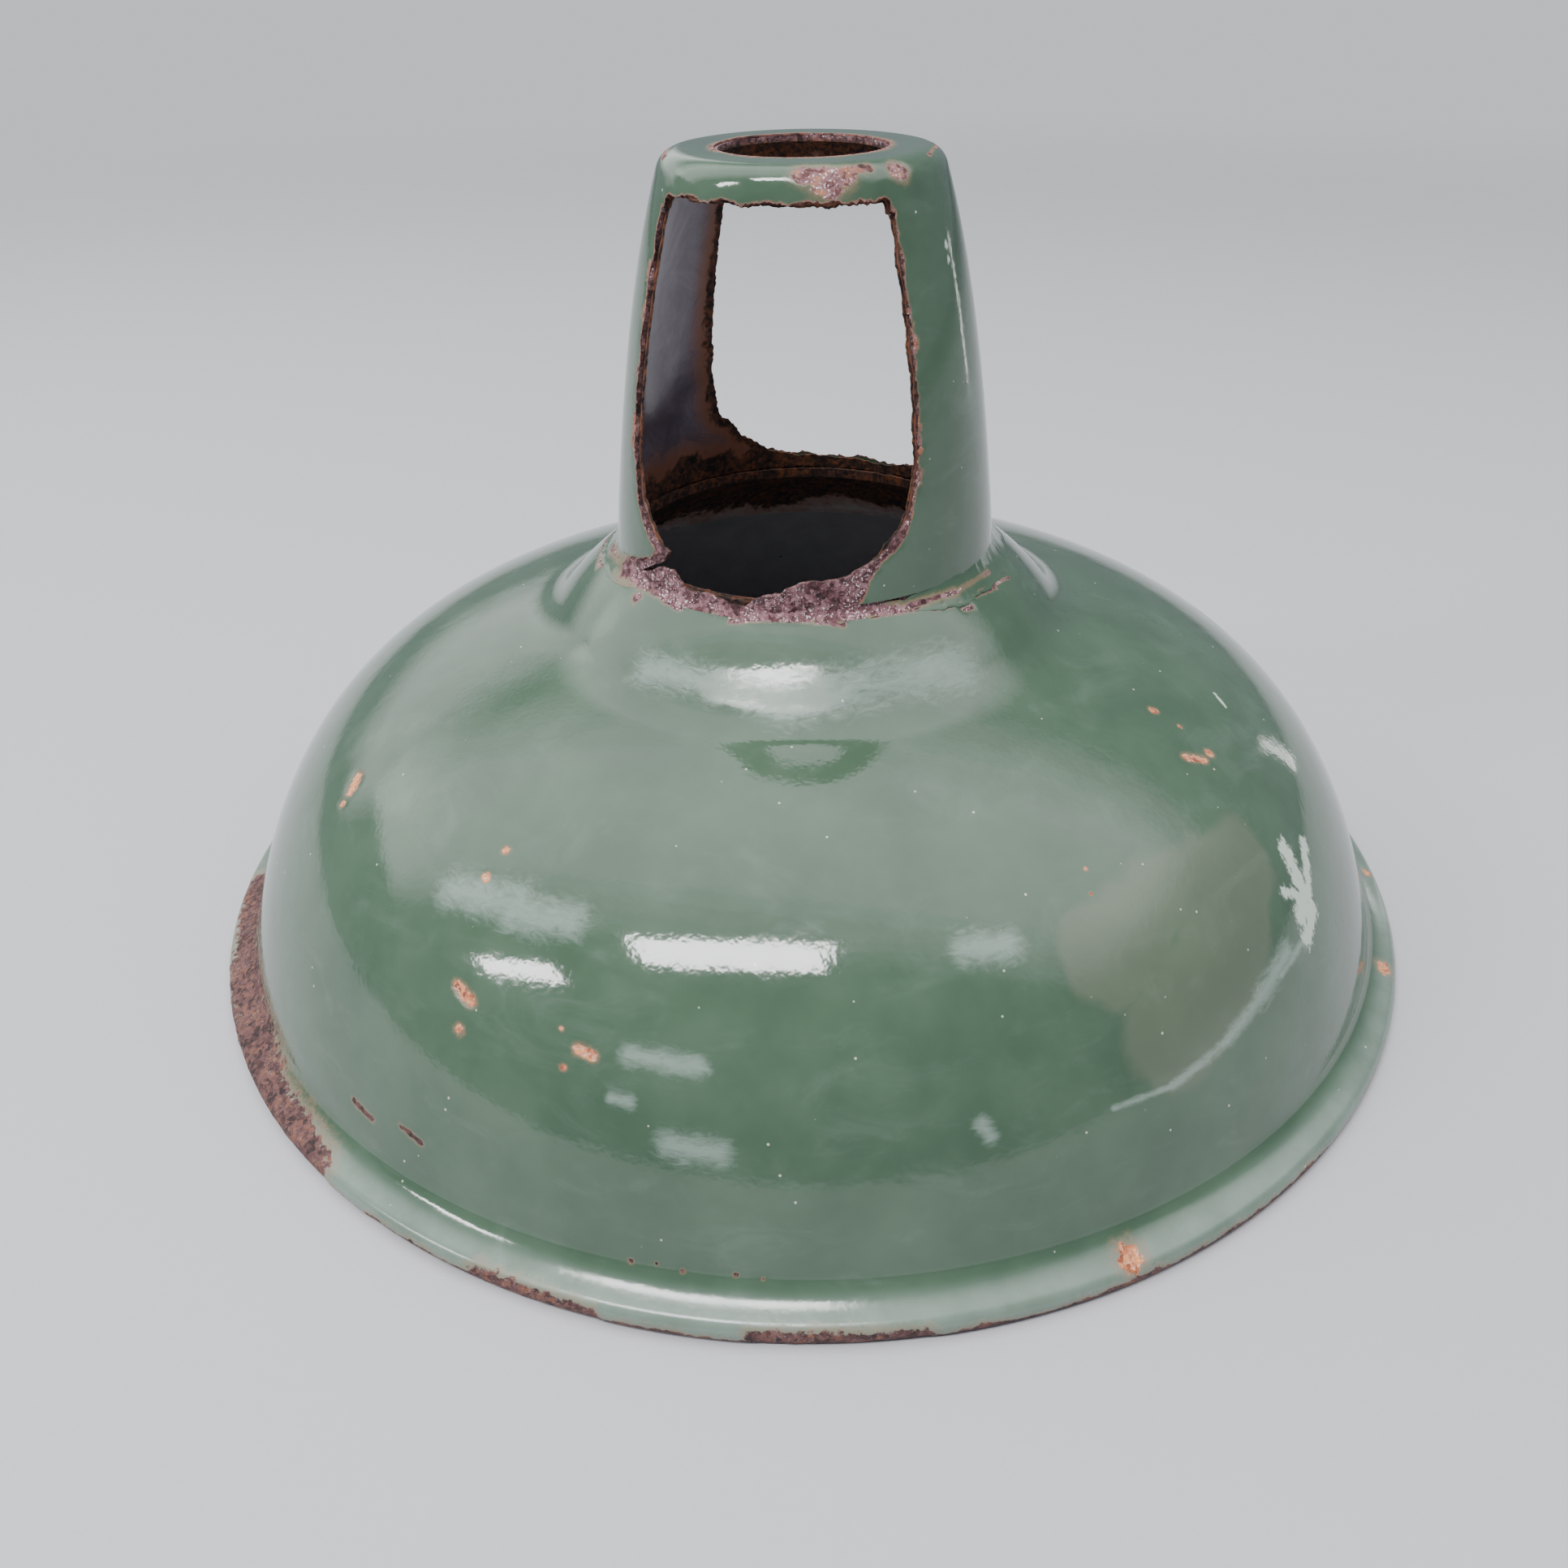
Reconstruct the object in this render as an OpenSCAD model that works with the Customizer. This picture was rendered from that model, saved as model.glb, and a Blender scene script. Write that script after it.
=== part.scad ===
// Pendant lamp shade of pressed steel with a fired enamel finish: green outside and white inside.
// A slotted gallery neck with two windows stands on a domed reflector whose rim is rolled over a wire.
// Frame: +Z is up and is the shade's axis. The origin is the centre of the circle that the rim stands
// on. The windows face -Y and +Y, and the legs between them stand on the X axis. Lengths are in mm.
// A profile is a list of [radius, height] points on the outside of the finished wall. It runs outwards
// and down, so depths into the wall are measured to its right-hand side.

/* [Overall] */
// Outside diameter over the rolled rim
rim_diameter = 254; // [252:1:262]
// Height from the rim's underside to the top of the collar
shade_height = 152; // [150:1:156]

/* [Sheet] */
// Thickness of the steel sheet
steel_t = 1; // [0.8:0.1:1.2]
// Thickness of each fired enamel coat
enamel_t = 0.3; // [0.2:0.05:0.35]

/* [Collar] */
// Radius of the lampholder hole
hole_r = 14.5; // [13:0.5:16]
// Width of the bare steel lip that the enamel leaves round the hole
bare_lip = 0.6; // [0.4:0.1:1.5]
// Radius at which the collar's flat top ends
collar_flat_r = 21.3; // [20:0.1:22]
// Radius of the collar's rounded shoulder
collar_round = 4.1; // [3.5:0.1:4.5]

/* [Neck] */
// Slope of the neck where it leaves the shoulder, in degrees below level
neck_slope = 71.7; // [70:0.1:74]
// Pull of the neck's curve away from the shoulder
neck_pull = 25; // [20:1:30]
// Outside radius of the neck's foot
foot_r = 37.3; // [36.5:0.1:38]
// Height at which the neck's outside meets the boss
foot_z = 80.6; // [80:0.1:81.5]
// Height of the window sill, and of the collar that the dome turns up inside the neck's foot
sill_z = 82.5; // [82.4:0.1:84]
// Radial gap between the neck's foot and the turned-up collar
lap_gap = 0.3; // [0.3:0.05:0.5]
// Width of the weld round the foot
weld_w = 1; // [0.8:0.1:1.1]

/* [Windows] */
// Height of the window's straight top edge
window_top_z = 145.9; // [144.5:0.1:146.5]
// Half width of the window at its top edge
window_top_w = 18.8; // [18:0.1:19.5]
// Half width of the window where it is widest
window_w = 26.4; // [25:0.1:27]
// Height at which the window is widest
window_mid_z = 105; // [104:0.5:108]
// Radius of the window's top corners
window_corner = 2; // [1:0.5:3]

/* [Boss and dome] */
// Slope of the boss at the neck's foot, in degrees below level
boss_slope = 32; // [28:1:36]
// Pull of the boss's curve at the neck's foot
boss_pull = 8; // [6:0.5:10]
// Radius of the crease between the raised boss and the dome
boss_r = 52.5; // [51:0.5:54]
// Height of the crease between the raised boss and the dome
boss_z = 67; // [66:0.5:68]
// Slope of the dome where it leaves the boss, in degrees below level
dome_top_slope = 13; // [10:1:16]
// Pull of the dome's curve at the boss
dome_top_pull = 32; // [28:1:36]
// Slope of the dome's wall at the rim, in degrees below level
dome_wall_slope = 74.5; // [72:0.5:77]
// Pull of the dome's curve at the rim
dome_wall_pull = 47; // [43:1:50]

/* [Rim] */
// Width of the rim, from the crease at the foot of the wall to the outside of the bead
rim_w = 6.1; // [5.8:0.1:6.6]
// Height of the crease at the foot of the wall
rim_crease_z = 6.2; // [6:0.1:6.8]
// Radius of the rolled bead over its enamel
bead_r = 2.5; // [2.4:0.1:2.7]

/* [Hidden] */
$fn = 96;
rim_r = rim_diameter / 2;
skin_t = enamel_t + steel_t;
wall_t = skin_t + enamel_t;
beyond = 2 * rim_r;

function lerp(a, b, t) = a + (b - a) * t;
function down(slope) = [cos(slope), -sin(slope)];
function curve2_at(a, b, c, t) = lerp(lerp(a, b, t), lerp(b, c, t), t);
function curve2(a, b, c, n) = [for (i = [0:n]) curve2_at(a, b, c, i / n)];
function curve3(a, b, c, d, n) =
    [for (i = [0:n]) lerp(curve2_at(a, b, c, i / n), curve2_at(b, c, d, i / n), i / n)];
function arc(centre, r, from, to, n) =
    [for (i = [0:n]) let(angle = lerp(from, to, i / n)) centre + r * [cos(angle), sin(angle)]];
function run(points, from, to) = [for (i = [from:to]) points[i]];
function but_last(points) = run(points, 0, len(points) - 2);
function reversed(points) = [for (i = [len(points) - 1:-1:0]) points[i]];
function unit(v) = v / norm(v);
// Unit normal, on the right-hand side, of the stretch that starts at point i
function normal(points, i) =
    let(j = max(0, min(i, len(points) - 2)), v = unit(points[j + 1] - points[j])) [v[1], -v[0]];
// A profile moved into the wall by a depth, with mitred corners
function inset(points, depth) =
    [for (i = [0:len(points) - 1])
        let(before = normal(points, i - 1), across = unit(before + normal(points, i)))
        points[i] + across * depth / (across * before)];

// The boss starts as a straight slope, which runs on under the neck's foot to the turned-up collar.
function on_boss(r) = [r, foot_z + (foot_r - r) * tan(boss_slope)];
function boss_steel_z(r) = on_boss(r)[1] - enamel_t / cos(boss_slope);
collar_face_r = foot_r - steel_t - lap_gap;
collar_face = [[collar_face_r, sill_z], on_boss(collar_face_r)];
weld_edge = on_boss(foot_r + weld_w);
boss_crease = [boss_r, boss_z];
boss_face = curve2(weld_edge, weld_edge + boss_pull * down(boss_slope), boss_crease, 6);

// The flange leaves the crease along the line that touches the bead, and the bead curls on round the
// wire to bead_end degrees. Its steel stands on the ground.
bead = [rim_r - bead_r, bead_r - enamel_t];
bead_end = -190;
bead_steps = 22;
rim_crease = [rim_r - rim_w, rim_crease_z];
to_bead = bead - rim_crease;
bead_start = 90 + atan2(to_bead[1], to_bead[0]) + asin(bead_r / norm(to_bead));
bead_face = arc(bead, bead_r, bead_start, bead_end, bead_steps);
// The inner coat covers this share of the flange before the curl closes under it.
flange_stop = lerp(rim_crease, bead_face[0], 0.3);
wall_face = curve3(boss_crease, boss_crease + dome_top_pull * down(dome_top_slope),
                   rim_crease - dome_wall_pull * down(dome_wall_slope), rim_crease, 24);

dome_face = concat(collar_face, but_last(boss_face), wall_face, [flange_stop], bead_face);
last_point = len(dome_face) - 1;
coat_from = len(collar_face);
// Both coats stop short of the bead's underside, which is bare steel: the outer one after 11 of the
// bead's steps, and the inner one comes back for the last 5.
coat_to = last_point - bead_steps + 11;
lip_from = last_point - 5;
lining_to = last_point - bead_steps - 1;

collar_lip = [[hole_r, shade_height], [hole_r + bare_lip, shade_height]];
shoulder = arc([collar_flat_r, shade_height - collar_round], collar_round, 90, 90 - neck_slope, 8);
neck_start = shoulder[len(shoulder) - 1];
neck_wall = curve2(neck_start, neck_start + neck_pull * down(neck_slope), [foot_r, foot_z], 14);
neck_face = concat(collar_lip, but_last(shoulder), neck_wall);
neck_end = len(neck_face) - 1;
neck_seat_z = boss_steel_z(foot_r - skin_t - lap_gap);
neck_outside = run(inset(neck_face, enamel_t), neck_end - 1, neck_end);
weld_top_z = neck_seat_z + weld_w;
function neck_steel_r(z) =
    lerp(neck_outside[0], neck_outside[1],
         (z - neck_outside[0][1]) / (neck_outside[1][1] - neck_outside[0][1]))[0];

// A window's rounded lower half, and how fast its sides draw in above it
window_round = 2.7;
window_taper = 1.5;
wire_gap = 0.1;

// The layer of the wall between two depths, along one run of a profile
module layer(face, outer, inner, from, to) {
    rotate_extrude()
        polygon(concat(run(inset(face, outer), from, to), reversed(run(inset(face, inner), from, to))));
}

// The window's outline, seen along Y: a rounded lower half, tapering sides and a straight top
module window_outline() {
    bowl_h = window_mid_z - sill_z;
    side_h = window_top_z - window_mid_z;
    bowl = [for (angle = [180:9:360])
        [window_w * sign(cos(angle)) * pow(abs(cos(angle)), 2 / window_round),
         window_mid_z - bowl_h * pow(abs(sin(angle)), 2 / window_round)]];
    side = [for (i = [1:5]) let(t = i / 5 * (1 - window_corner / side_h))
        [window_w - (window_w - window_top_w) * pow(t, window_taper), window_mid_z + side_h * t]];
    corner_centre = [window_top_w - window_corner, window_top_z - window_corner];
    right_side = concat(side, arc(corner_centre, window_corner, 0, 90, 4));
    polygon(concat(bowl, right_side, [for (p = reversed(right_side)) [-p[0], p[1]]]));
}

// One layer of the neck, cut through by the windows and cut off square at a height
module neck_layer(outer, inner, from, end_z) {
    difference() {
        layer(neck_face, outer, inner, from, neck_end);
        rotate([90, 0, 0]) linear_extrude(height = beyond, center = true) window_outline();
        translate([0, 0, end_z - beyond]) cylinder(r = beyond, h = beyond);
    }
}

module dome_steel() {
    color("sienna") layer(dome_face, enamel_t, skin_t, 0, last_point);
}

module neck_steel() {
    color("sienna") neck_layer(enamel_t, skin_t, 0, neck_seat_z);
}

// The weld fills the corner under the neck's foot and shows as a narrow seam round it.
module foot_weld() {
    root_r = foot_r - skin_t;
    color("saddlebrown") rotate_extrude() polygon([
        [root_r, neck_seat_z],
        [neck_steel_r(neck_seat_z), neck_seat_z],
        [neck_steel_r(weld_top_z), weld_top_z],
        [weld_edge[0], boss_steel_z(weld_edge[0])],
        [root_r, boss_steel_z(root_r)]]);
}

module rim_wire() {
    color("dimgray") rotate_extrude() translate(bead) circle(r = bead_r - skin_t - wire_gap, $fn = 24);
}

module dome_outer_enamel() {
    color("darkseagreen") layer(dome_face, 0, enamel_t, coat_from, coat_to);
}

module dome_inner_enamel() {
    color("whitesmoke") {
        layer(dome_face, skin_t, wall_t, 0, lining_to);
        layer(dome_face, 0, enamel_t, lip_from, last_point);
    }
}

module neck_outer_enamel() {
    color("darkseagreen") neck_layer(0, enamel_t, 1, weld_top_z);
}

// The inner coat ends just above the sill, so the windows part it into a lining for each leg.
module neck_inner_enamel() {
    color("whitesmoke") neck_layer(skin_t, wall_t, 1, sill_z + enamel_t);
}

dome_steel();
neck_steel();
foot_weld();
rim_wire();
dome_outer_enamel();
dome_inner_enamel();
neck_outer_enamel();
neck_inner_enamel();
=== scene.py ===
"""Looks of an enamelled pendant lamp shade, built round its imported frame.

The shade is pressed steel with fired enamel, green outside and white inside. It is old: the coats are
chipped down to rust, the rim has rusted from below, and the sill of the front window has torn open
along the neck's foot. Lengths are in metres. A place on the shade is a bearing, in degrees from +X
towards +Y, and a height above the surface that the rim stands on.
"""

import logging
import math
from dataclasses import dataclass, field
from enum import Enum

import bmesh
import bpy
import numpy as np
from mathutils import Matrix, Vector, noise
from mathutils.geometry import delaunay_2d_cdt


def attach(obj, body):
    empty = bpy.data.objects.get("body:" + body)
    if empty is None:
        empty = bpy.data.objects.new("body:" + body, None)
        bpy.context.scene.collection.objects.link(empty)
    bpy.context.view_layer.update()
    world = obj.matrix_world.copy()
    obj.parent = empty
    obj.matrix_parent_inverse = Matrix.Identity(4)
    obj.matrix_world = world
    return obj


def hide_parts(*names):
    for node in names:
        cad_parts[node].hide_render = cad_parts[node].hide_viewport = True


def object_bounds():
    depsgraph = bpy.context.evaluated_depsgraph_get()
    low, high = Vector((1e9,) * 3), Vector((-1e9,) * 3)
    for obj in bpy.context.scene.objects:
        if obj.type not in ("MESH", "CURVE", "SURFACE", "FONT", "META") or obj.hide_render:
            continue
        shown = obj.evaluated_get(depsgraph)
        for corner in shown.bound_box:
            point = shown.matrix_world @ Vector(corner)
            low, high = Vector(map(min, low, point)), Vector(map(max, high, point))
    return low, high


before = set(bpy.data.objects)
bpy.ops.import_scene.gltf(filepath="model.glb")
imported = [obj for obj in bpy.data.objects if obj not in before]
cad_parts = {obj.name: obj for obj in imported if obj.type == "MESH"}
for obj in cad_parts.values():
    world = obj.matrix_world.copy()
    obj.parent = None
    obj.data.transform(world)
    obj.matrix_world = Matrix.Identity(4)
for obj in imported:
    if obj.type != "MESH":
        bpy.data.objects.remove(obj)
CAD_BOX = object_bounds()

MM = 0.001
BODY = "root"
LOG = logging.getLogger("shade")


class Slot(Enum):
    """The record's material slots."""

    STEEL = "sheet_steel"
    WELD = "weld_metal"
    WIRE = "iron_wire"
    GREEN = "green_enamel"
    WHITE = "white_enamel"


class Edge(Enum):
    """How far a layer of the neck is eaten back from the sheet's edge: mean and swing."""

    SHEET = (0.0, 0.4 * MM)
    COAT = (0.35 * MM, 0.8 * MM)
    LINING = (0.7 * MM, 0.5 * MM)


def srgb(red: int, green: int, blue: int) -> tuple[float, float, float, float]:
    """Linear colour of a screen colour given from 0 to 255."""
    parts = [channel / 255 for channel in (red, green, blue)]
    linear = [c / 12.92 if c <= 0.04045 else ((c + 0.055) / 1.055) ** 2.4 for c in parts]
    return (*linear, 1.0)


# ---------------------------------------------------------------- the shade's section


def down(slope: float) -> np.ndarray:
    """Unit vector that falls outwards at a slope, in degrees below level."""
    return np.array([math.cos(math.radians(slope)), -math.sin(math.radians(slope))])


def bezier(controls: list[np.ndarray], steps: int) -> np.ndarray:
    """Points along the Bezier curve of any number of control points.

    Args:
        controls: The control points, first to last.
        steps: How many stretches the curve is cut into.

    Returns:
        The steps + 1 points as rows.
    """
    share = np.linspace(0, 1, steps + 1)[:, None]
    rows = [np.asarray(point, float)[None, :] for point in controls]
    while len(rows) > 1:
        rows = [a + (b - a) * share for a, b in zip(rows, rows[1:])]
    return rows[0]


def arc(centre: np.ndarray, radius: float, start: float, end: float, steps: int) -> np.ndarray:
    """Points along an arc between two angles in degrees."""
    angles = np.radians(np.linspace(start, end, steps + 1))
    return centre + radius * np.stack([np.cos(angles), np.sin(angles)], axis=1)


def normals_in(points: np.ndarray) -> np.ndarray:
    """Unit normals of a profile's stretches, towards the wall on their right-hand side."""
    along = np.diff(points, axis=0)
    along /= np.linalg.norm(along, axis=1)[:, None]
    return np.stack([along[:, 1], -along[:, 0]], axis=1)


def inset(points: np.ndarray, depth: float) -> np.ndarray:
    """A profile moved into the wall by a depth, with mitred corners."""
    flat = normals_in(points)
    before = np.vstack([flat[:1], flat])
    after = np.vstack([flat, flat[-1:]])
    across = before + after
    across /= np.linalg.norm(across, axis=1)[:, None]
    return points + across * (depth / np.sum(across * before, axis=1))[:, None]


def softened(points: np.ndarray, corner: int, reach: float) -> np.ndarray:
    """A profile with one corner rounded off.

    Args:
        points: The profile.
        corner: The corner's place in it.
        reach: How far along both sides the rounding goes.

    Returns:
        The new profile, with a curve in place of the points near the corner.
    """
    away = np.linalg.norm(points - points[corner], axis=1)
    before = corner - int(np.argmax(away[corner::-1] > reach))
    after = corner + int(np.argmax(away[corner:] > reach))
    curve = bezier([points[before], points[corner], points[after]], 10)
    return np.vstack([points[:before], curve, points[after + 1:]])


def thinned(points: np.ndarray, every: int) -> np.ndarray:
    """Every so many of a profile's points, always with its last."""
    kept = points[::every]
    return kept if np.allclose(kept[-1], points[-1]) else np.vstack([kept, points[-1:]])


@dataclass(frozen=True)
class Track:
    """A profile that can be asked for a place by its length or its height."""

    points: np.ndarray

    @property
    def lengths(self) -> np.ndarray:
        """Length along the profile at each of its points."""
        steps = np.linalg.norm(np.diff(self.points, axis=0), axis=1)
        return np.concatenate([[0.0], np.cumsum(steps)])

    def at(self, length: np.ndarray, depth: np.ndarray | float) -> np.ndarray:
        """Radius and height at lengths along the profile, at a depth in the wall.

        Args:
            length: Lengths along the profile.
            depth: Depth below the finished face, one for all or one each.

        Returns:
            Radius and height as rows.
        """
        deep = inset(self.points, 1.0) - self.points
        table = np.hstack([self.points, deep])
        found = np.stack([np.interp(length, self.lengths, column) for column in table.T], axis=1)
        return found[:, :2] + found[:, 2:] * np.reshape(depth, (-1, 1))

    def length_at(self, height: np.ndarray | float) -> np.ndarray:
        """Length along the profile at which it has fallen to a height."""
        return np.interp(-np.asarray(height, float), -self.points[:, 1], self.lengths)

    def radius_at(self, height: np.ndarray | float) -> np.ndarray:
        """Radius of the face at a height."""
        return np.interp(-np.asarray(height, float), -self.points[:, 1], self.points[:, 0])


@dataclass(frozen=True)
class Section:
    """Driving sizes of the shade's wall, the same as the part's source gives them."""

    rim_r: float = CAD_BOX[1].x
    height: float = CAD_BOX[1].z
    steel: float = 1.0 * MM
    coat: float = 0.3 * MM
    hole_r: float = 14.5 * MM
    bare_lip: float = 0.6 * MM
    collar_flat_r: float = 21.3 * MM
    collar_round: float = 4.1 * MM
    neck_slope: float = 71.7
    neck_pull: float = 25 * MM
    foot_r: float = 37.3 * MM
    foot_z: float = 80.6 * MM
    sill_z: float = 82.5 * MM
    lap_gap: float = 0.3 * MM
    weld_w: float = 1.0 * MM
    boss_slope: float = 32
    boss_pull: float = 8 * MM
    boss_r: float = 52.5 * MM
    boss_z: float = 67 * MM
    dome_top_slope: float = 13
    dome_top_pull: float = 32 * MM
    dome_wall_slope: float = 74.5
    dome_wall_pull: float = 47 * MM
    rim_w: float = 6.1 * MM
    rim_crease_z: float = 6.2 * MM
    bead_r: float = 2.5 * MM
    bead_end: float = -190
    coat_share: float = 0.5
    lip_share: float = 17 / 22
    flange_share: float = 0.3

    @property
    def skin(self) -> float:
        """Depth of the steel's inner face."""
        return self.coat + self.steel

    @property
    def wall(self) -> float:
        """Depth of the lining's face, the whole thickness of the wall."""
        return self.skin + self.coat

    def on_boss(self, radius: float) -> np.ndarray:
        """Point of the straight top of the boss at a radius."""
        rise = (self.foot_r - radius) * math.tan(math.radians(self.boss_slope))
        return np.array([radius, self.foot_z + rise])

    @property
    def seat_z(self) -> float:
        """Height at which the neck's steel stands on the boss."""
        radius = self.foot_r - self.skin - self.lap_gap
        return self.on_boss(radius)[1] - self.coat / math.cos(math.radians(self.boss_slope))

    def collar(self) -> np.ndarray:
        """The collar that the dome turns up inside the neck's foot, down to the boss."""
        radius = self.foot_r - self.steel - self.lap_gap
        return np.array([[radius, self.sill_z], self.on_boss(radius)])

    def boss(self) -> np.ndarray:
        """The raised boss, from the weld to its crease."""
        start = self.on_boss(self.foot_r + self.weld_w)
        pulled = start + self.boss_pull * down(self.boss_slope)
        return bezier([start, pulled, np.array([self.boss_r, self.boss_z])], 26)

    @property
    def crease(self) -> np.ndarray:
        """The crease at the foot of the dome's wall."""
        return np.array([self.rim_r - self.rim_w, self.rim_crease_z])

    def dome(self) -> np.ndarray:
        """The dome, from the boss to the crease at the rim."""
        top = np.array([self.boss_r, self.boss_z])
        pulled = top + self.dome_top_pull * down(self.dome_top_slope)
        pushed = self.crease - self.dome_wall_pull * down(self.dome_wall_slope)
        return bezier([top, pulled, pushed, self.crease], 110)

    def bead(self, start_share: float = 0.0, end_share: float = 1.0, steps: int = 30) -> np.ndarray:
        """The rolled bead, or the part of it between two shares of its turn."""
        centre = np.array([self.rim_r - self.bead_r, self.bead_r - self.coat])
        away = centre - self.crease
        start = 90 + math.degrees(
            math.atan2(away[1], away[0]) + math.asin(self.bead_r / np.linalg.norm(away))
        )
        turn = self.bead_end - start
        return arc(centre, self.bead_r, start + turn * start_share, start + turn * end_share, steps)

    def neck(self) -> np.ndarray:
        """The neck, from the lampholder hole over the rounded shoulder to the foot."""
        lip = bezier([np.array([r, self.height]) for r in (self.hole_r, self.collar_flat_r)], 12)
        centre = np.array([self.collar_flat_r, self.height - self.collar_round])
        shoulder = arc(centre, self.collar_round, 90, 90 - self.neck_slope, 20)
        start = shoulder[-1]
        pulled = start + self.neck_pull * down(self.neck_slope)
        wall = bezier([start, pulled, np.array([self.foot_r, self.foot_z])], 90)
        return np.vstack([lip[:-1], shoulder[:-1], wall])

    def outside(self) -> Track:
        """The finished outside of the dome, from the weld to the underside of the bead."""
        under = self.bead(0, 0.5, 16)
        return Track(np.vstack([self.boss()[:-1], self.dome(), under]))


SECTION = Section()
NECK = Track(SECTION.neck())
OUTSIDE = SECTION.outside()


# ---------------------------------------------------------------- node trees


class Value:
    """A number socket that Python's operators work on, each adding a Math node."""

    def __init__(self, tree: "Tree", socket: bpy.types.NodeSocket) -> None:
        """Wraps a socket of a tree."""
        self.tree = tree
        self.socket = socket

    def __add__(self, other: "Value | float") -> "Value":
        """Sum."""
        return self.tree.math("ADD", self, other)

    __radd__ = __add__

    def __sub__(self, other: "Value | float") -> "Value":
        """Difference."""
        return self.tree.math("SUBTRACT", self, other)

    def __rsub__(self, other: "Value | float") -> "Value":
        """Difference from a plain number."""
        return self.tree.math("SUBTRACT", other, self)

    def __mul__(self, other: "Value | float") -> "Value":
        """Product."""
        return self.tree.math("MULTIPLY", self, other)

    __rmul__ = __mul__

    def __rtruediv__(self, other: "Value | float") -> "Value":
        """Quotient of a plain number."""
        return self.tree.math("DIVIDE", other, self)


Link = Value | bpy.types.NodeSocket | float | int | tuple


class Tree:
    """A node tree, and the short ways to add to it that shaders and geometry share."""

    def __init__(self, tree: bpy.types.NodeTree) -> None:
        """Takes a tree over and empties it."""
        self.tree = tree
        tree.nodes.clear()

    def feed(self, socket: bpy.types.NodeSocket, value: Link) -> None:
        """Links a socket to another, or sets its value."""
        if isinstance(value, Value):
            value = value.socket
        if isinstance(value, bpy.types.NodeSocket):
            self.tree.links.new(value, socket)
        else:
            socket.default_value = value

    def node(
        self, kind: str, settings: dict | None = None, inputs: dict[str | int, Link] | None = None
    ) -> bpy.types.Node:
        """Adds a node.

        Args:
            kind: The node's type.
            settings: Its properties, which are set first.
            inputs: Values or links, by the input's name or place.

        Returns:
            The node.
        """
        made = self.tree.nodes.new(kind)
        for name, value in (settings or {}).items():
            setattr(made, name, value)
        for key, value in (inputs or {}).items():
            self.feed(made.inputs[key], value)
        return made

    def math(self, operation: str, *values: Link) -> Value:
        """Adds a Math node and returns its result."""
        made = self.node("ShaderNodeMath", {"operation": operation}, dict(enumerate(values)))
        return Value(self, made.outputs[0])

    def vector(self, operation: str, *values: Link) -> bpy.types.NodeSocket:
        """Adds a Vector Math node and returns its vector."""
        settings = {"operation": operation}
        return self.node("ShaderNodeVectorMath", settings, dict(enumerate(values))).outputs[0]

    def measure(self, operation: str, *values: Link) -> Value:
        """Adds a Vector Math node whose result is a number."""
        settings = {"operation": operation}
        made = self.node("ShaderNodeVectorMath", settings, dict(enumerate(values)))
        return Value(self, made.outputs[1])

    def scaled(self, vector: Link, factor: Link) -> bpy.types.NodeSocket:
        """A vector times a number."""
        inputs = {0: vector, 3: factor}
        return self.node("ShaderNodeVectorMath", {"operation": "SCALE"}, inputs).outputs[0]

    def least(self, first: Value, *others: Value) -> Value:
        """The least of several numbers."""
        for other in others:
            first = self.math("MINIMUM", first, other)
        return first

    def most(self, first: Value, *others: Value) -> Value:
        """The greatest of several numbers."""
        for other in others:
            first = self.math("MAXIMUM", first, other)
        return first

    def step(self, value: Value, low: float, high: float) -> Value:
        """A smooth step from 0 at low to 1 at high, or falling where low is the greater."""
        made = self.node(
            "ShaderNodeMapRange",
            {"interpolation_type": "SMOOTHSTEP"},
            {"Value": value, "From Min": low, "From Max": high},
        )
        return Value(self, made.outputs[0])

    def noise(
        self,
        position: Link,
        size: float,
        detail: float = 2.0,
        roughness: float = 0.5,
        distortion: float = 0.0,
    ) -> Value:
        """Noise from 0 to 1 whose lumps are about the given size across."""
        inputs = {
            "Vector": position,
            "Scale": 1 / size,
            "Detail": detail,
            "Roughness": roughness,
            "Distortion": distortion,
        }
        return Value(self, self.node("ShaderNodeTexNoise", None, inputs).outputs[0])

    def grain(self, position: Link) -> Value:
        """The noise that makes the marks' edges ragged, the same in the looks and in the relief."""
        return self.noise(position, 1.6 * MM, 5, 0.65)

    def coordinate(self, position: Link, axis: str) -> Value:
        """One coordinate of a position."""
        return Value(self, self.node("ShaderNodeSeparateXYZ", None, {0: position}).outputs[axis])

    def flattened(self, position: Link) -> bpy.types.NodeSocket:
        """A position with its height taken away."""
        return self.vector("MULTIPLY", position, (1.0, 1.0, 0.0))

    def reach(self, position: Link, marks: "tuple[Mark, ...]") -> Value:
        """How far a position is from the nearest mark, where 1 is that mark's own edge.

        Args:
            position: The position's socket.
            marks: The marks, at least one.

        Returns:
            The least ratio of distance to reach.
        """
        return self.least(*[self._ratio(position, mark) for mark in marks])

    def _ratio(self, position: Link, mark: "Mark") -> Value:
        """Distance to one mark over its reach."""
        start, end = mark.ends()
        if mark.to is None:
            return self.measure("DISTANCE", position, tuple(start)) * (1 / mark.reach)
        span = end - start
        away = self.vector("SUBTRACT", position, tuple(start))
        share = self.measure("DOT_PRODUCT", away, tuple(span / span.length_squared))
        held = self.node("ShaderNodeClamp", None, {0: share})
        foot = self.scaled(tuple(span), held.outputs[0])
        return self.measure("DISTANCE", away, foot) * (1 / mark.reach)


# ---------------------------------------------------------------- wear


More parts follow.
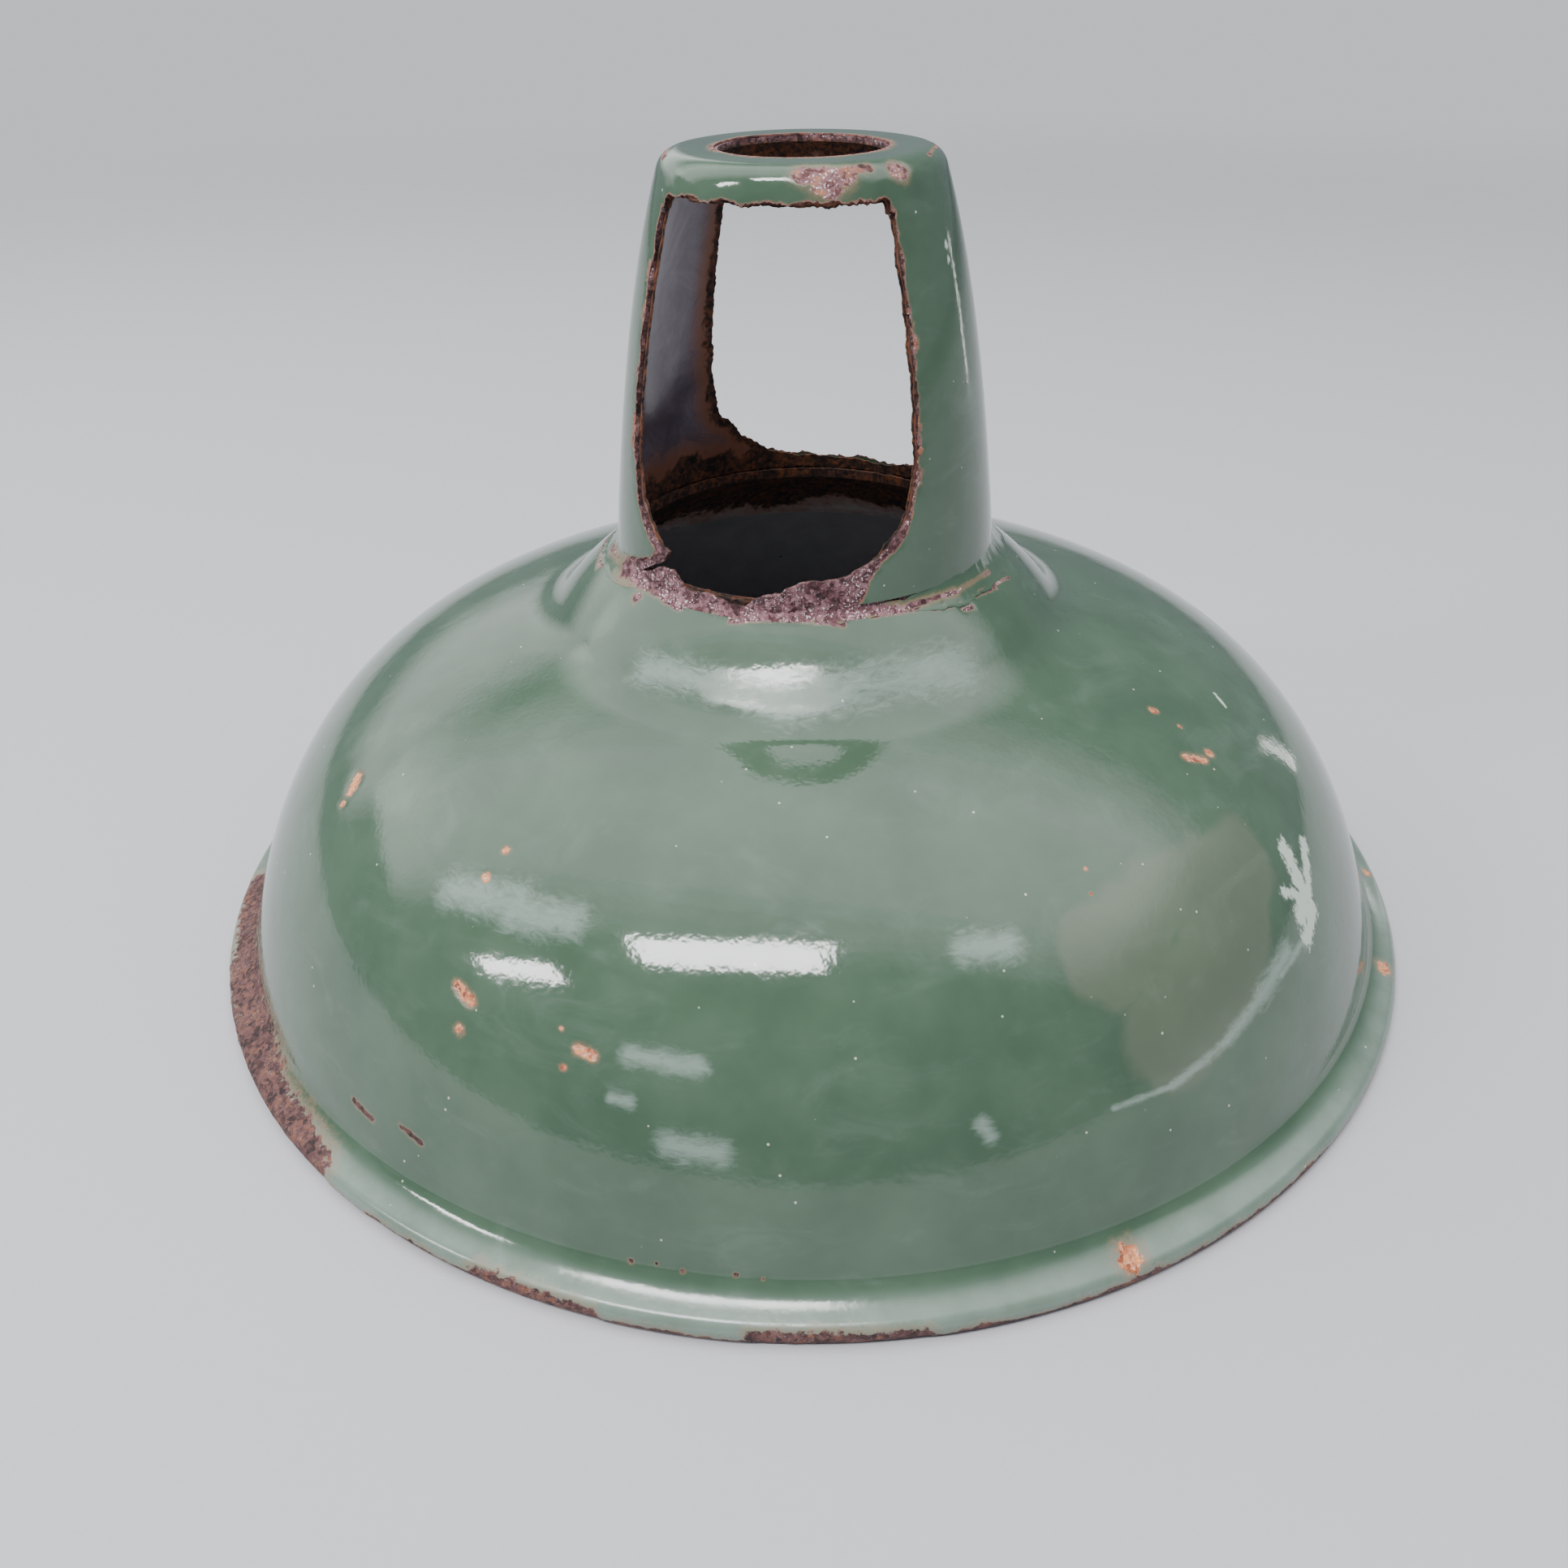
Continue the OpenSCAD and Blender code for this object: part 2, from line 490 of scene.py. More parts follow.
@dataclass(frozen=True)
class Mark:
    """A worn place: a spot, or a stroke with round ends. The sizes given are in millimetres."""

    bearing: float
    height_mm: float
    reach_mm: float
    to: tuple[float, float] | None = None

    @property
    def reach(self) -> float:
        """How far the mark reaches from its middle line."""
        return self.reach_mm * MM

    def ends(self) -> tuple[Vector, Vector]:
        """The points on the finished face where the stroke starts and ends."""
        last = self.to or (self.bearing, self.height_mm)
        return on_face(self.bearing, self.height_mm * MM), on_face(last[0], last[1] * MM)


def on_face(bearing: float, height: float) -> Vector:
    """The point of the shade's finished outside at a bearing and height."""
    track = NECK if height > SECTION.foot_z else OUTSIDE
    radius = float(track.radius_at(height))
    angle = math.radians(bearing)
    return Vector((radius * math.cos(angle), radius * math.sin(angle), height))


# Chips through the green coat of the dome, in fresh orange and pink rust
DOME_CHIPS = (
    Mark(-139.6, 50.6, 1.2, (-138.6, 49.4)),
    Mark(-138, 47.5, 0.7),
    Mark(-111, 55, 0.7),
    Mark(-111.3, 52, 0.7),
    Mark(-108.8, 39.9, 0.9, (-106.9, 38.8)),
    Mark(-107.3, 34.7, 0.8),
    Mark(-95.6, 37.6, 0.8, (-94.2, 37.2)),
    Mark(-96.6, 34.8, 0.5),
    Mark(-97.5, 39.5, 0.4),
    Mark(-16.2, 61, 0.8),
    Mark(-16, 59, 0.5),
    Mark(-17.2, 56, 0.8),
    Mark(-21, 57.3, 0.8, (-19, 56)),
    Mark(-45.5, 54, 0.35),
    Mark(-46.4, 51.8, 0.3),
    Mark(-52, 4.8, 2.2),
    Mark(-7, 5, 1.6),
    Mark(8.5, 4.8, 1.0),
    Mark(63, 33, 1.6),
    Mark(118, 44, 1.3),
    Mark(121, 41, 0.8),
    Mark(158, 28, 1.5),
)

# The one blow that has also dented the lining behind it
LINING_CHIP = DOME_CHIPS[:1]

# Old brown scale: along the rim, and scuffed through above it
RIM_SCALE = (
    Mark(-160, 5.0, 3.2, (-146, 5.5)),
    Mark(-146, 5.5, 5.2, (-131, 4.5)),
    Mark(-131, 4.5, 3.4, (-119, 3.4)),
    Mark(-117.6, 14.2, 0.6, (-115.0, 13.6)),
    Mark(-111.4, 15.8, 0.5, (-109.0, 15.2)),
    Mark(-89.5, 8.2, 0.45),
    Mark(-87.5, 8.6, 0.3),
    Mark(-85.5, 8.0, 0.35),
    Mark(-81.5, 8.4, 0.4),
    Mark(-79.5, 8.0, 0.3),
    Mark(-112, 1.4, 1.0, (-101, 1.2)),
    Mark(-101, 2.2, 1.8, (-92, 1.6)),
    Mark(-80, 2.2, 1.5, (-68, 1.6)),
    Mark(28, 3.5, 3.0, (41, 3.2)),
    Mark(84, 4.0, 2.4, (92, 3.0)),
    Mark(133, 4.2, 3.6, (149, 3.4)),
)

# Rust that has crept out from the weld over the top of the boss
FOOT_SCALE = (
    Mark(-58, 80.3, 0.5, (-44, 79.9)),
    Mark(-40, 79.2, 0.35, (-30, 78.6)),
    Mark(-24, 78.8, 0.5, (-15, 78.2)),
    Mark(-15, 78.4, 0.3, (-6, 77.6)),
    Mark(-31, 78.0, 0.5, (-28, 77.8)),
    Mark(-96, 79.6, 0.5, (-66, 79.6)),
    Mark(-139, 79.4, 0.5, (-112, 79.7)),
    Mark(-176, 78.6, 1.3, (-156, 78.4)),
    Mark(-150, 80.0, 0.8, (-140, 79.8)),
    Mark(48, 79.4, 1.0, (74, 79.6)),
    Mark(92, 79.6, 1.2, (120, 79.2)),
    Mark(-128, 79.0, 1.0),
)

# White paint that has been brushed against
PAINT_SMEARS = (
    Mark(-19.2, 43, 2.2, (-20.5, 36)),
    Mark(-15.4, 40.5, 1.6, (-19.5, 35.5)),
    Mark(-20.5, 35.6, 2.8, (-22.5, 34.5)),
    Mark(-23.5, 39.5, 1.3, (-20, 35.5)),
    Mark(-20, 33.5, 2.1, (-23, 31.0)),
    Mark(-3.2, 57.4, 0.5, (-5, 56.2)),
)

# Milky patches where the gloss has been rubbed away; their milky colour is partly painted highlight,
# most of all in the band across the front of the boss
SCUFFS_AND_SHEEN = (
    Mark(-112, 71.5, 3.6, (-80, 70)),
    Mark(-80, 70, 4.6, (-42, 71.5)),
    Mark(-91, 38.3, 1.8, (-85, 38.0)),
    Mark(-87, 27.6, 2.4, (-83, 27.0)),
    Mark(-92, 32.5, 1.2, (-90.5, 32.3)),
    Mark(-61, 50, 2.8, (-57, 49.4)),
    Mark(-62.4, 29.5, 1.4, (-61.8, 27.5)),
    Mark(-114, 49.5, 3.5, (-106, 51)),
    Mark(-106, 50, 3.5, (-100, 51)),
    Mark(-27, 32.5, 2.2, (-33, 30)),
    Mark(-33, 30, 1.5, (-38, 28)),
    Mark(-37, 28, 1.0, (-45, 26)),
    Mark(-45, 26, 0.6, (-51, 26.5)),
    Mark(-24, 31.5, 0.9, (-29, 30.5)),
    Mark(25, 52, 4.0, (34, 48)),
    Mark(146, 60, 3.5, (156, 55)),
)

# A thin brown film
FILM = (
    Mark(-28, 47, 10.0, (-42, 33)),
    Mark(-38, 49, 8.0, (-47, 46)),
    Mark(170, 40, 9.0, (158, 30)),
)

# Chips through the green coat of the neck
NECK_CHIPS = (
    Mark(-76, 150.8, 1.6, (-60, 150.2)),
    Mark(-69, 149.6, 1.8, (-65, 149.2)),
    Mark(-37.5, 150.6, 1.3, (-35.5, 150.2)),
    Mark(141, 118, 1.0),
    Mark(35, 100, 0.9, (36, 96)),
)

# Bright spots on the neck's right leg
NECK_PAINT = (
    Mark(-17.6, 138.2, 0.8),
    Mark(-17.2, 136.0, 0.75),
)

# Worn tan edge on the shoulder of the ring
NECK_WORN = (
    Mark(-176, 151.3, 0.5, (-152, 151.0)),
    Mark(-12, 151.4, 0.3, (14, 151.5)),
    Mark(60, 151.5, 0.7, (95, 151.4)),
    Mark(-60, 150.9, 0.9, (-50, 151.2)),
)


# ---------------------------------------------------------------- finishes


@dataclass(frozen=True)
class RustTone:
    """Colours of a rusted face, from its pits to its freshest scale, and the share of painted highlight
    glints mixed into them.
    """

    pit: tuple[float, ...]
    scale: tuple[float, ...]
    bloom: tuple[float, ...]
    fresh: tuple[float, ...]
    # How much white is painted into the colour as highlight glints on the flakes.
    painted_glint: float = 0.0


MAROON = RustTone(srgb(34, 20, 20), srgb(72, 44, 42), srgb(98, 66, 64), srgb(122, 76, 56), 0.1)
# The pale pink of PINK's bloom and fresh stops is partly the rust's own colour, partly painted sheen of
# flaking metal.
PINK = RustTone(srgb(46, 24, 27), srgb(88, 52, 56), srgb(126, 88, 94), srgb(152, 114, 118), 0.9)
RUSSET = RustTone(srgb(48, 28, 26), srgb(98, 62, 56), srgb(136, 96, 90), srgb(150, 92, 66), 0.35)
PURPLE = RustTone(srgb(62, 30, 30), srgb(106, 62, 60), srgb(140, 104, 108), srgb(168, 112, 88), 0.8)
ORANGE = RustTone(srgb(112, 54, 38), srgb(176, 100, 62), srgb(206, 146, 112), srgb(226, 142, 72), 0.5)
BROWN = RustTone(srgb(21, 13, 12), srgb(50, 31, 24), srgb(82, 52, 38), srgb(118, 68, 38), 0.0)


class Shader(Tree):
    """A material's tree, with one principled surface."""

    def __init__(self, name: str) -> None:
        """Makes the material and reads the object's own coordinates."""
        self.material = bpy.data.materials.new(name)
        self.material.use_nodes = True
        super().__init__(self.material.node_tree)
        self.position = self.node("ShaderNodeTexCoord").outputs["Object"]
        self.crust: tuple[Value, Value, Value, Value, Value] | None = None

    def attribute(self, name: str) -> Value:
        """A number that the piece's own mesh carries."""
        made = self.node("ShaderNodeAttribute", {"attribute_name": name})
        return Value(self, made.outputs["Fac"])

    def mix(self, share: Link, first: Link, second: Link) -> bpy.types.NodeSocket:
        """Blends two colours."""
        made = self.node("ShaderNodeMix", {"data_type": "RGBA"}, {0: share, 6: first, 7: second})
        return made.outputs[2]

    def ramp(self, share: Value, stops: list[tuple[float, tuple]]) -> bpy.types.NodeSocket:
        """A colour that runs through stops, each a place and a colour."""
        made = self.node("ShaderNodeValToRGB", None, {0: share})
        band = made.color_ramp
        for place, _ in stops[2:]:
            band.elements.new(place)
        for element, (place, colour) in zip(band.elements, stops):
            element.position = place
            element.color = colour
        return made.outputs[0]

    def height_mm(self) -> Value:
        """Height above the floor in millimetres."""
        return self.coordinate(self.position, "Z") * (1 / MM)

    def cells(self, position: Link, size: float) -> tuple[Value, Value]:
        """Distance to the nearest of some scattered points, in cells, and that point's own number."""
        made = self.node("ShaderNodeTexVoronoi", None, {"Vector": position, "Scale": 1 / size})
        own = self.node("ShaderNodeSeparateColor", None, {0: made.outputs["Color"]})
        return Value(self, made.outputs["Distance"]), Value(self, own.outputs[0])

    def specks(self, size: float, radius: float, share: float) -> Value:
        """Small round specks, at most one in each cell.

        Args:
            size: The cells' size.
            radius: A speck's radius.
            share: The share of the cells that hold one.

        Returns:
            1 on a speck and 0 elsewhere.
        """
        distance, own = self.cells(self.position, size)
        spot = self.step(distance, radius / size, radius / size * 0.5)
        return spot * self.step(own, share, share * 0.98)

    def crusted(self) -> tuple[Value, Value, Value, Value, Value]:
        """The lumps, grain, flakes, sparkle that places the painted highlight glints, and height of
        rust, made once for a material.
        """
        if self.crust is None:
            broad = self.noise(self.position, 6 * MM, 3, 0.6)
            fine = self.noise(self.position, 0.9 * MM, 4, 0.75)
            _, flakes = self.cells(self.position, 0.85 * MM)
            sparkle = self.noise(self.position, 0.42 * MM, 2, 0.6)
            height = broad * 0.25 + fine * 0.55 + flakes * 0.2
            self.crust = (broad, fine, flakes, sparkle, height)
        return self.crust

    def rust(self, tone: RustTone) -> tuple[bpy.types.NodeSocket, Value, Value]:
        """A rusted face, with painted highlight glints in its colour.

        Args:
            tone: Its colours.

        Returns:
            Its colour, its roughness, and its height for a bump.
        """
        broad, fine, flakes, sparkle, height = self.crusted()
        stops = [(0.36, tone.pit), (0.45, tone.scale), (0.54, tone.bloom), (0.63, tone.fresh)]
        colour = self.ramp(broad * 0.35 + fine * 0.45 + flakes * 0.2, stops)
        # Painted highlight: near-white glints mixed into the rust's colour where the flakes would catch
        # the light; they are also made less rough.
        painted_glint = self.step(sparkle, 0.57, 0.66) * self.step(broad, 0.45, 0.56) * tone.painted_glint
        colour = self.mix(painted_glint, colour, srgb(236, 222, 226))
        return colour, 0.84 - painted_glint * 0.4, height

    def close(self, colour: Link, rough: Link, bump: Link, **constants: float) -> bpy.types.Material:
        """Ends the tree in a principled surface.

        Args:
            colour: Base colour.
            rough: Roughness.
            bump: The Bump node's normal.
            constants: Values that are the same all over, by the socket's name with _ for spaces.

        Returns:
            The material.
        """
        inputs = {"Base Color": colour, "Roughness": rough, "Normal": bump}
        inputs |= {name.replace("_", " "): value for name, value in constants.items()}
        surface = self.node("ShaderNodeBsdfPrincipled", None, inputs)
        self.node("ShaderNodeOutputMaterial", None, {"Surface": surface.outputs[0]})
        return self.material

    def bump(
        self, height: Link, distance: float, strength: Link = 1.0, under: Link | None = None
    ) -> bpy.types.NodeSocket:
        """A bumped normal.

        Args:
            height: The height, from 0 to 1.
            distance: What that is spread over.
            strength: How much of it there is.
            under: The bumped normal that this one is laid on.

        Returns:
            The normal.
        """
        inputs = {"Height": height, "Distance": distance, "Strength": strength}
        if under is not None:
            inputs["Normal"] = under
        return self.node("ShaderNodeBump", None, inputs).outputs[0]


@dataclass(frozen=True)
class GreenEnamel:
    """Glossy green enamel, hazy, dusty and rusted through where it is chipped."""

    name: str
    chips: tuple[Mark, ...]
    scale: tuple[Mark, ...]
    scuffs_and_sheen: tuple[Mark, ...] = ()
    film: tuple[Mark, ...] = ()
    paint: tuple[Mark, ...] = ()
    edged: bool = False
    chip_tone: RustTone = ORANGE
    scale_tone: RustTone = PINK
    deep: tuple[float, ...] = srgb(63, 85, 67)
    pale: tuple[float, ...] = srgb(75, 97, 78)
    tan: tuple[float, ...] = srgb(150, 116, 88)
    milky: tuple[float, ...] = srgb(168, 184, 176)
    gloss: float = 0.08

    def glaze(self, s: Shader, mottle: Value) -> tuple[bpy.types.NodeSocket, Value]:
        """The whole enamel with its haze, its film, and its rubbed patches with their painted highlight:
        colour and roughness.
        """
        p = s.position
        smudge = s.noise(s.vector("MULTIPLY", p, (1.0, 1.0, 2.6)), 16 * MM, 5, 0.65, 0.8)
        colour = s.mix(s.step(mottle, 0.3, 0.7), self.deep, self.pale)
        haze = s.step(smudge, 0.5, 0.78)
        colour = s.mix(haze * 0.06, colour, self.milky)
        rough = self.gloss + haze * 0.09
        if self.film:
            near = s.reach(p, self.film) + (mottle - 0.5) * 2.2
            film = s.step(near, 1.2, 0.85)
            colour = s.mix(film * 0.22, colour, srgb(132, 128, 112))
            rough = rough + film * 0.12
        # The rubbed patches are mixed towards milky white and made rougher: partly wear, partly painted
        # highlight, most of all across the front of the boss.
        if self.scuffs_and_sheen:
            streaks = s.noise(s.vector("MULTIPLY", p, (1.0, 1.0, 3.5)), 4 * MM, 6, 0.75, 1.2)
            near = s.reach(p, self.scuffs_and_sheen) + (streaks - 0.5) * 2.4
            scuff_and_sheen = s.step(near, 1.5, -0.1)
            colour = s.mix(scuff_and_sheen * 0.4, colour, self.milky)
            on_boss = s.step(s.coordinate(p, "Z"), 60 * MM, 66 * MM)
            rough = rough + scuff_and_sheen * (on_boss * 0.25 + 0.12)
        return colour, rough

    def edge_scale(self, s: Shader, ragged: Value, patches: Value) -> Value:
        """How near the neck's coat is to the rust of a window's edge or of the hole's lip."""
        height = s.coordinate(s.position, "Z")
        edge = s.attribute("edge") * (1 / (0.9 * MM)) + s.step(patches, 0.58, 0.46) * 2.2
        edge = edge + s.step(height, 139 * MM, 144 * MM) * 2
        edge = edge + s.step(height, 104 * MM, 96 * MM) * 2
        line = s.attribute("edge") * (1 / (0.3 * MM)) + 0.5
        lip = s.measure("LENGTH", s.flattened(s.position)) * (1 / MM) - 15.1
        fall = s.math("MAXIMUM", 151.4 - s.height_mm(), 0)
        lip = s.math("MAXIMUM", lip * 0.9, 0) + fall * 8 + (patches - 0.5) * 2.5
        return s.least(edge + 0.2 + ragged * 0.8, line + ragged * 0.5, lip + 0.4 + ragged * 0.6)

    def rim_scale(self, s: Shader, ragged: Value, mottle: Value) -> Value:
        """How near the dome's coat is to the rust that has crept up from under the bead."""
        low = s.height_mm() - 0.6 + (mottle - 0.5) * 6
        return low * 0.8 + ragged

    def make(self) -> bpy.types.Material:
        """Builds the material."""
        s = Shader(self.name)
        p = s.position
        ragged = (s.grain(p) - 0.5) * 2.2
        mottle = s.noise(p, 22 * MM, 4, 0.6)
        patches = s.noise(p, 6 * MM, 3, 0.6)
        colour, rough = self.glaze(s, mottle)
        chip_near = s.reach(p, self.chips) + ragged
        scale_near = s.reach(p, self.scale) + ragged * 1.1
        if self.edged:
            scale_near = s.least(scale_near, self.edge_scale(s, ragged, patches))
        else:
            scale_near = s.least(scale_near, self.rim_scale(s, ragged, mottle))
            # The rim band, worn rough, is also mixed towards milky white: partly wear, partly painted
            # reflection of the ceiling on the rim.
            rim = s.step(s.coordinate(p, "Z"), 7 * MM, 4.5 * MM)
            colour = s.mix(rim * (0.12 + patches * 0.3), colour, self.milky)
            rough = rough + rim * 0.14
        halo = s.step(s.least(chip_near, scale_near), 2.1, 0.9)
        colour = s.mix(halo * 0.4, colour, self.tan)
        rough = rough + halo * 0.25
        fresh, fresh_rough, fresh_height = s.rust(self.chip_tone)
        high = s.step(s.coordinate(p, "Z"), 60 * MM, 70 * MM)
        old = s.mix(high, s.rust(MAROON)[0], s.rust(self.scale_tone)[0])
        chip = s.step(chip_near, 1.12, 0.9)
        scale = s.step(scale_near, 1.12, 0.86)
        colour = s.mix(chip, colour, fresh)
        colour = s.mix(scale, colour, old)
        bare = s.most(chip, scale)
        rough = rough * (1 - bare) + fresh_rough * bare
        if self.paint:
            brushed = s.noise(s.vector("MULTIPLY", p, (1.0, 1.0, 0.35)), 1.3 * MM, 6, 0.75)
            smear = s.step(s.reach(p, self.paint) + (brushed - 0.5) * 3.4, 1.1, 0.5)
            colour = s.mix(smear * 0.75, colour, srgb(206, 218, 206))
            rough = rough + smear * 0.3
        dust = s.specks(5 * MM, 0.28 * MM, 0.75)
        colour = s.mix(dust * 0.75, colour, srgb(208, 208, 194))
        peel = s.noise(p, 1.1 * MM, 1, 0.5) * 0.05 + s.noise(p, 6 * MM, 1, 0.5) * 0.1
        smooth = s.bump(peel, 0.35 * MM)
        return s.close(colour, rough, s.bump(fresh_height, 0.5 * MM, bare, smooth), IOR=1.56)


@dataclass(frozen=True)
class WhiteEnamel:
    """Dulled white enamel of the inside, stained brown where it meets rust."""

    name: str
    edged: bool
    white: tuple[float, ...] = srgb(196, 196, 200)
    grey: tuple[float, ...] = srgb(150, 148, 156)

    def make(self) -> bpy.types.Material:
        """Builds the material."""
        s = Shader(self.name)
        p = s.position
        mottle = s.noise(p, 12 * MM, 5, 0.65, 0.6)
        grain = s.noise(p, 1.8 * MM, 5, 0.65)
        clouds = s.step(mottle, 0.3, 0.7) * (1.0 if self.edged else 0.25)
        colour = s.mix(clouds, self.white, self.grey)
        height = s.height_mm()
        if self.edged:
            back = s.step(s.coordinate(p, "Y"), -6 * MM, 8 * MM)
            width = back * 2.2 + 0.5
            near = s.math("DIVIDE", s.attribute("edge") * (1 / MM), width) + (mottle - 0.5) * 2.6
            foot = (height - 85) * 0.24 + (mottle - 0.5) * 3.5 + (1 - back) * 1.5
            near = s.least(near, foot, (149 - height) * 0.3 + (mottle - 0.5) * 2)
        else:
            near = (73 - height) * 0.22 + (mottle - 0.5) * 4
            near = s.least(near, (height - 5.5) * 0.35 + (mottle - 0.5) * 3)
        near = near + (grain - 0.5) * 1.2
        stain = s.step(near, 2.6, 0.6)
        rusted = s.step(near, 0.9, 0.45)
        colour = s.mix(stain * 0.75, colour, srgb(150, 92, 52))
        rust, rust_rough, rust_height = s.rust(BROWN)
        colour = s.mix(rusted, colour, rust)
        specks = s.specks(7 * MM, 0.45 * MM, 0.3)
        colour = s.mix(specks * 0.8, colour, srgb(70, 44, 32))
        rough = 0.2 + stain * 0.25 + rusted * (rust_rough - 0.45)
        normal = s.bump(rust_height, 0.3 * MM, rusted, s.bump(grain, 0.03 * MM))
        return s.close(colour, rough, normal, IOR=1.5)


@dataclass(frozen=True)
class RustedSteel:
    """Bare pressed steel that has rusted in flakes."""

    name: str
    tone: RustTone
    inner: RustTone = BROWN

    def make(self) -> bpy.types.Material:
        """Builds the material, brown towards the axis and in its own tone outside."""
        s = Shader(self.name)
        colour, rough, height = s.rust(self.tone)
        dark, dark_rough, _ = s.rust(self.inner)
        inwards = s.attribute("inward")
        colour = s.mix(inwards, colour, dark)
        rough = rough * (1 - inwards) + dark_rough * inwards
        cracks = s.noise(s.position, 2.2 * MM, 4, 0.6, 1.5)
        groove = s.step(cracks, 0.40, 0.46)
        colour = s.mix((1 - groove) * 0.6, colour, self.tone.pit)
        relief = height * 0.8 + groove * 0.3
        return s.close(colour, rough, s.bump(relief, 0.8 * MM))


@dataclass(frozen=True)
class WeldFinish:
    """The fillet round the foot: enamelled over at the legs and rusted open elsewhere."""

    name: str
    open_marks: tuple[Mark, ...] = (
        Mark(-140, 81, 2.0, (-118, 81)),
        Mark(-118, 81, 2.6, (-90, 81)),
        Mark(-90, 81, 2.6, (-62, 81)),
        Mark(-62, 81.0, 0.9, (-50, 80.6)),
        Mark(-50, 80.6, 0.5, (-30, 80.2)),
        Mark(-30, 80.2, 0.35, (-12, 79.8)),
        Mark(-160, 80.4, 0.7, (-140, 81)),
        Mark(55, 81, 2.4, (90, 81)),
        Mark(90, 81, 2.4, (125, 81)),
        Mark(150, 81, 0.9, (162, 81)),
    )

    def make(self) -> bpy.types.Material:
        """Builds the material."""
        s = Shader(self.name)
        p = s.position
        grain = s.grain(p)
        near = s.reach(p, self.open_marks) + (grain - 0.5) * 2.2
        bare = s.step(near, 1.2, 0.8)
        halo = s.step(near, 3.0, 1.0)
        mottle = s.noise(p, 22 * MM, 4, 0.6)
        green = s.mix(s.step(mottle, 0.3, 0.7), GreenEnamel.deep, GreenEnamel.pale)
        rust, rust_rough, rust_height = s.rust(PINK)
        colour = s.mix(bare, s.mix(halo * 0.5, green, GreenEnamel.tan), rust)
        rough = (0.16 + halo * 0.2) * (1 - bare) + rust_rough * bare
        normal = s.bump(rust_height, 0.5 * MM, bare, s.bump(grain, 0.04 * MM))
        return s.close(colour, rough, normal)


@dataclass(frozen=True)
class WireFinish:
    """Drawn iron wire with a dark oxide skin."""

    name: str = "drawn_iron_wire"

    def make(self) -> bpy.types.Material:
        """Builds the material."""
        s = Shader(self.name)
        drawn = s.noise(s.position, 1.5 * MM, 4, 0.7)
        colour = s.mix(drawn, srgb(58, 54, 52), srgb(104, 78, 62))
        rough = 0.4 + drawn * 0.3
        return s.close(colour, rough, s.bump(drawn, 0.1 * MM), Metallic=0.8)


@dataclass(frozen=True)
class FloorFinish:
    """A plain pale floor."""

    name: str = "pale_floor"
    colour: tuple[float, ...] = srgb(186, 186, 190)

    def make(self) -> bpy.types.Material:
        """Builds the material."""
        s = Shader(self.name)
        tooth = s.noise(s.position, 3 * MM, 3, 0.6)
        colour = s.mix(tooth * 0.08, self.colour, srgb(160, 160, 165))
        seen = Value(s, s.node("ShaderNodeLightPath").outputs["Is Camera Ray"])
        far = s.step(s.measure("LENGTH", s.position), 0.45, 1.5)
        rough = 0.85 + tooth * 0.05
        return s.close(colour, rough, s.bump(tooth, 0.1 * MM), Alpha=1 - far * seen)


# ---------------------------------------------------------------- geometry trees


@dataclass(frozen=True)
class Relief:
    """How far a face's own unevenness goes into the wall."""

    dent_depth: float = 0.16 * MM
    dent_size: float = 42 * MM
    peel_depth: float = 0.012 * MM
    peel_size: float = 3.5 * MM
    chip_depth: float = 0.2 * MM

    def inputs(self, material: bpy.types.Material) -> dict[str, object]:
        """The inputs of a relief tree, by name."""
        return {
            "Dent Depth": self.dent_depth,
            "Dent Size": self.dent_size,
            "Peel Depth": self.peel_depth,
            "Peel Size": self.peel_size,
            "Chip Depth": self.chip_depth,
            "Material": material,
        }


class GeometryTree(Tree):
    """A geometry node tree whose inputs are named."""

    def __init__(self, name: str) -> None:
        """Makes the tree with its geometry in and out."""
        group = bpy.data.node_groups.new(name, "GeometryNodeTree")
        super().__init__(group)
        self.group = group
        self.identifiers: dict[str, str] = {}
        self.add_input("Geometry", "NodeSocketGeometry")
        group.interface.new_socket("Geometry", in_out="OUTPUT", socket_type="NodeSocketGeometry")
        self.source = self.node("NodeGroupInput")
        self.position = self.node("GeometryNodeInputPosition").outputs[0]

    def add_input(self, name: str, kind: str) -> None:
        """Adds a named input of a socket type."""
        made = self.group.interface.new_socket(name, in_out="INPUT", socket_type=kind)
        self.identifiers[name] = made.identifier

    def given(self, name: str) -> Value:
        """A named input's value."""
        return Value(self, self.source.outputs[name])

    def stored(self, name: str) -> Value:
        """A number that the mesh's points carry."""
        made = self.node("GeometryNodeInputNamedAttribute", {"data_type": "FLOAT"}, {"Name": name})
        return Value(self, made.outputs[0])

    def end(self, geometry: bpy.types.NodeSocket) -> None:
        """Ends the tree in Realize Instances and Set Material."""
        real = self.node("GeometryNodeRealizeInstances", None, {0: geometry})
        inputs = {"Geometry": real.outputs[0], "Material": self.source.outputs["Material"]}
        dressed = self.node("GeometryNodeSetMaterial", None, inputs)
        self.node("NodeGroupOutput", None, {0: dressed.outputs[0]})

    def run(self, mesh: bpy.types.Mesh, name: str, values: dict[str, object]) -> bpy.types.Object:
        """Runs the tree on a mesh and returns the result as a plain object.

        Args:
            mesh: The mesh that the tree takes in.
            name: The name of the new piece.
            values: The inputs, by name.

        Returns:
            The new object, with no modifier left.
        """
        holder = bpy.data.objects.new(name + "_holder", mesh)
        bpy.context.scene.collection.objects.link(holder)
        modifier = holder.modifiers.new("tree", "NODES")
        modifier.node_group = self.group
        for key, value in values.items():
            modifier[self.identifiers[key]] = value
        seen = holder.evaluated_get(bpy.context.evaluated_depsgraph_get())
        made = bpy.data.meshes.new_from_object(seen)
        bpy.data.objects.remove(holder)
        piece = bpy.data.objects.new(name, made)
        made.name = name
        bpy.context.scene.collection.objects.link(piece)
        return piece


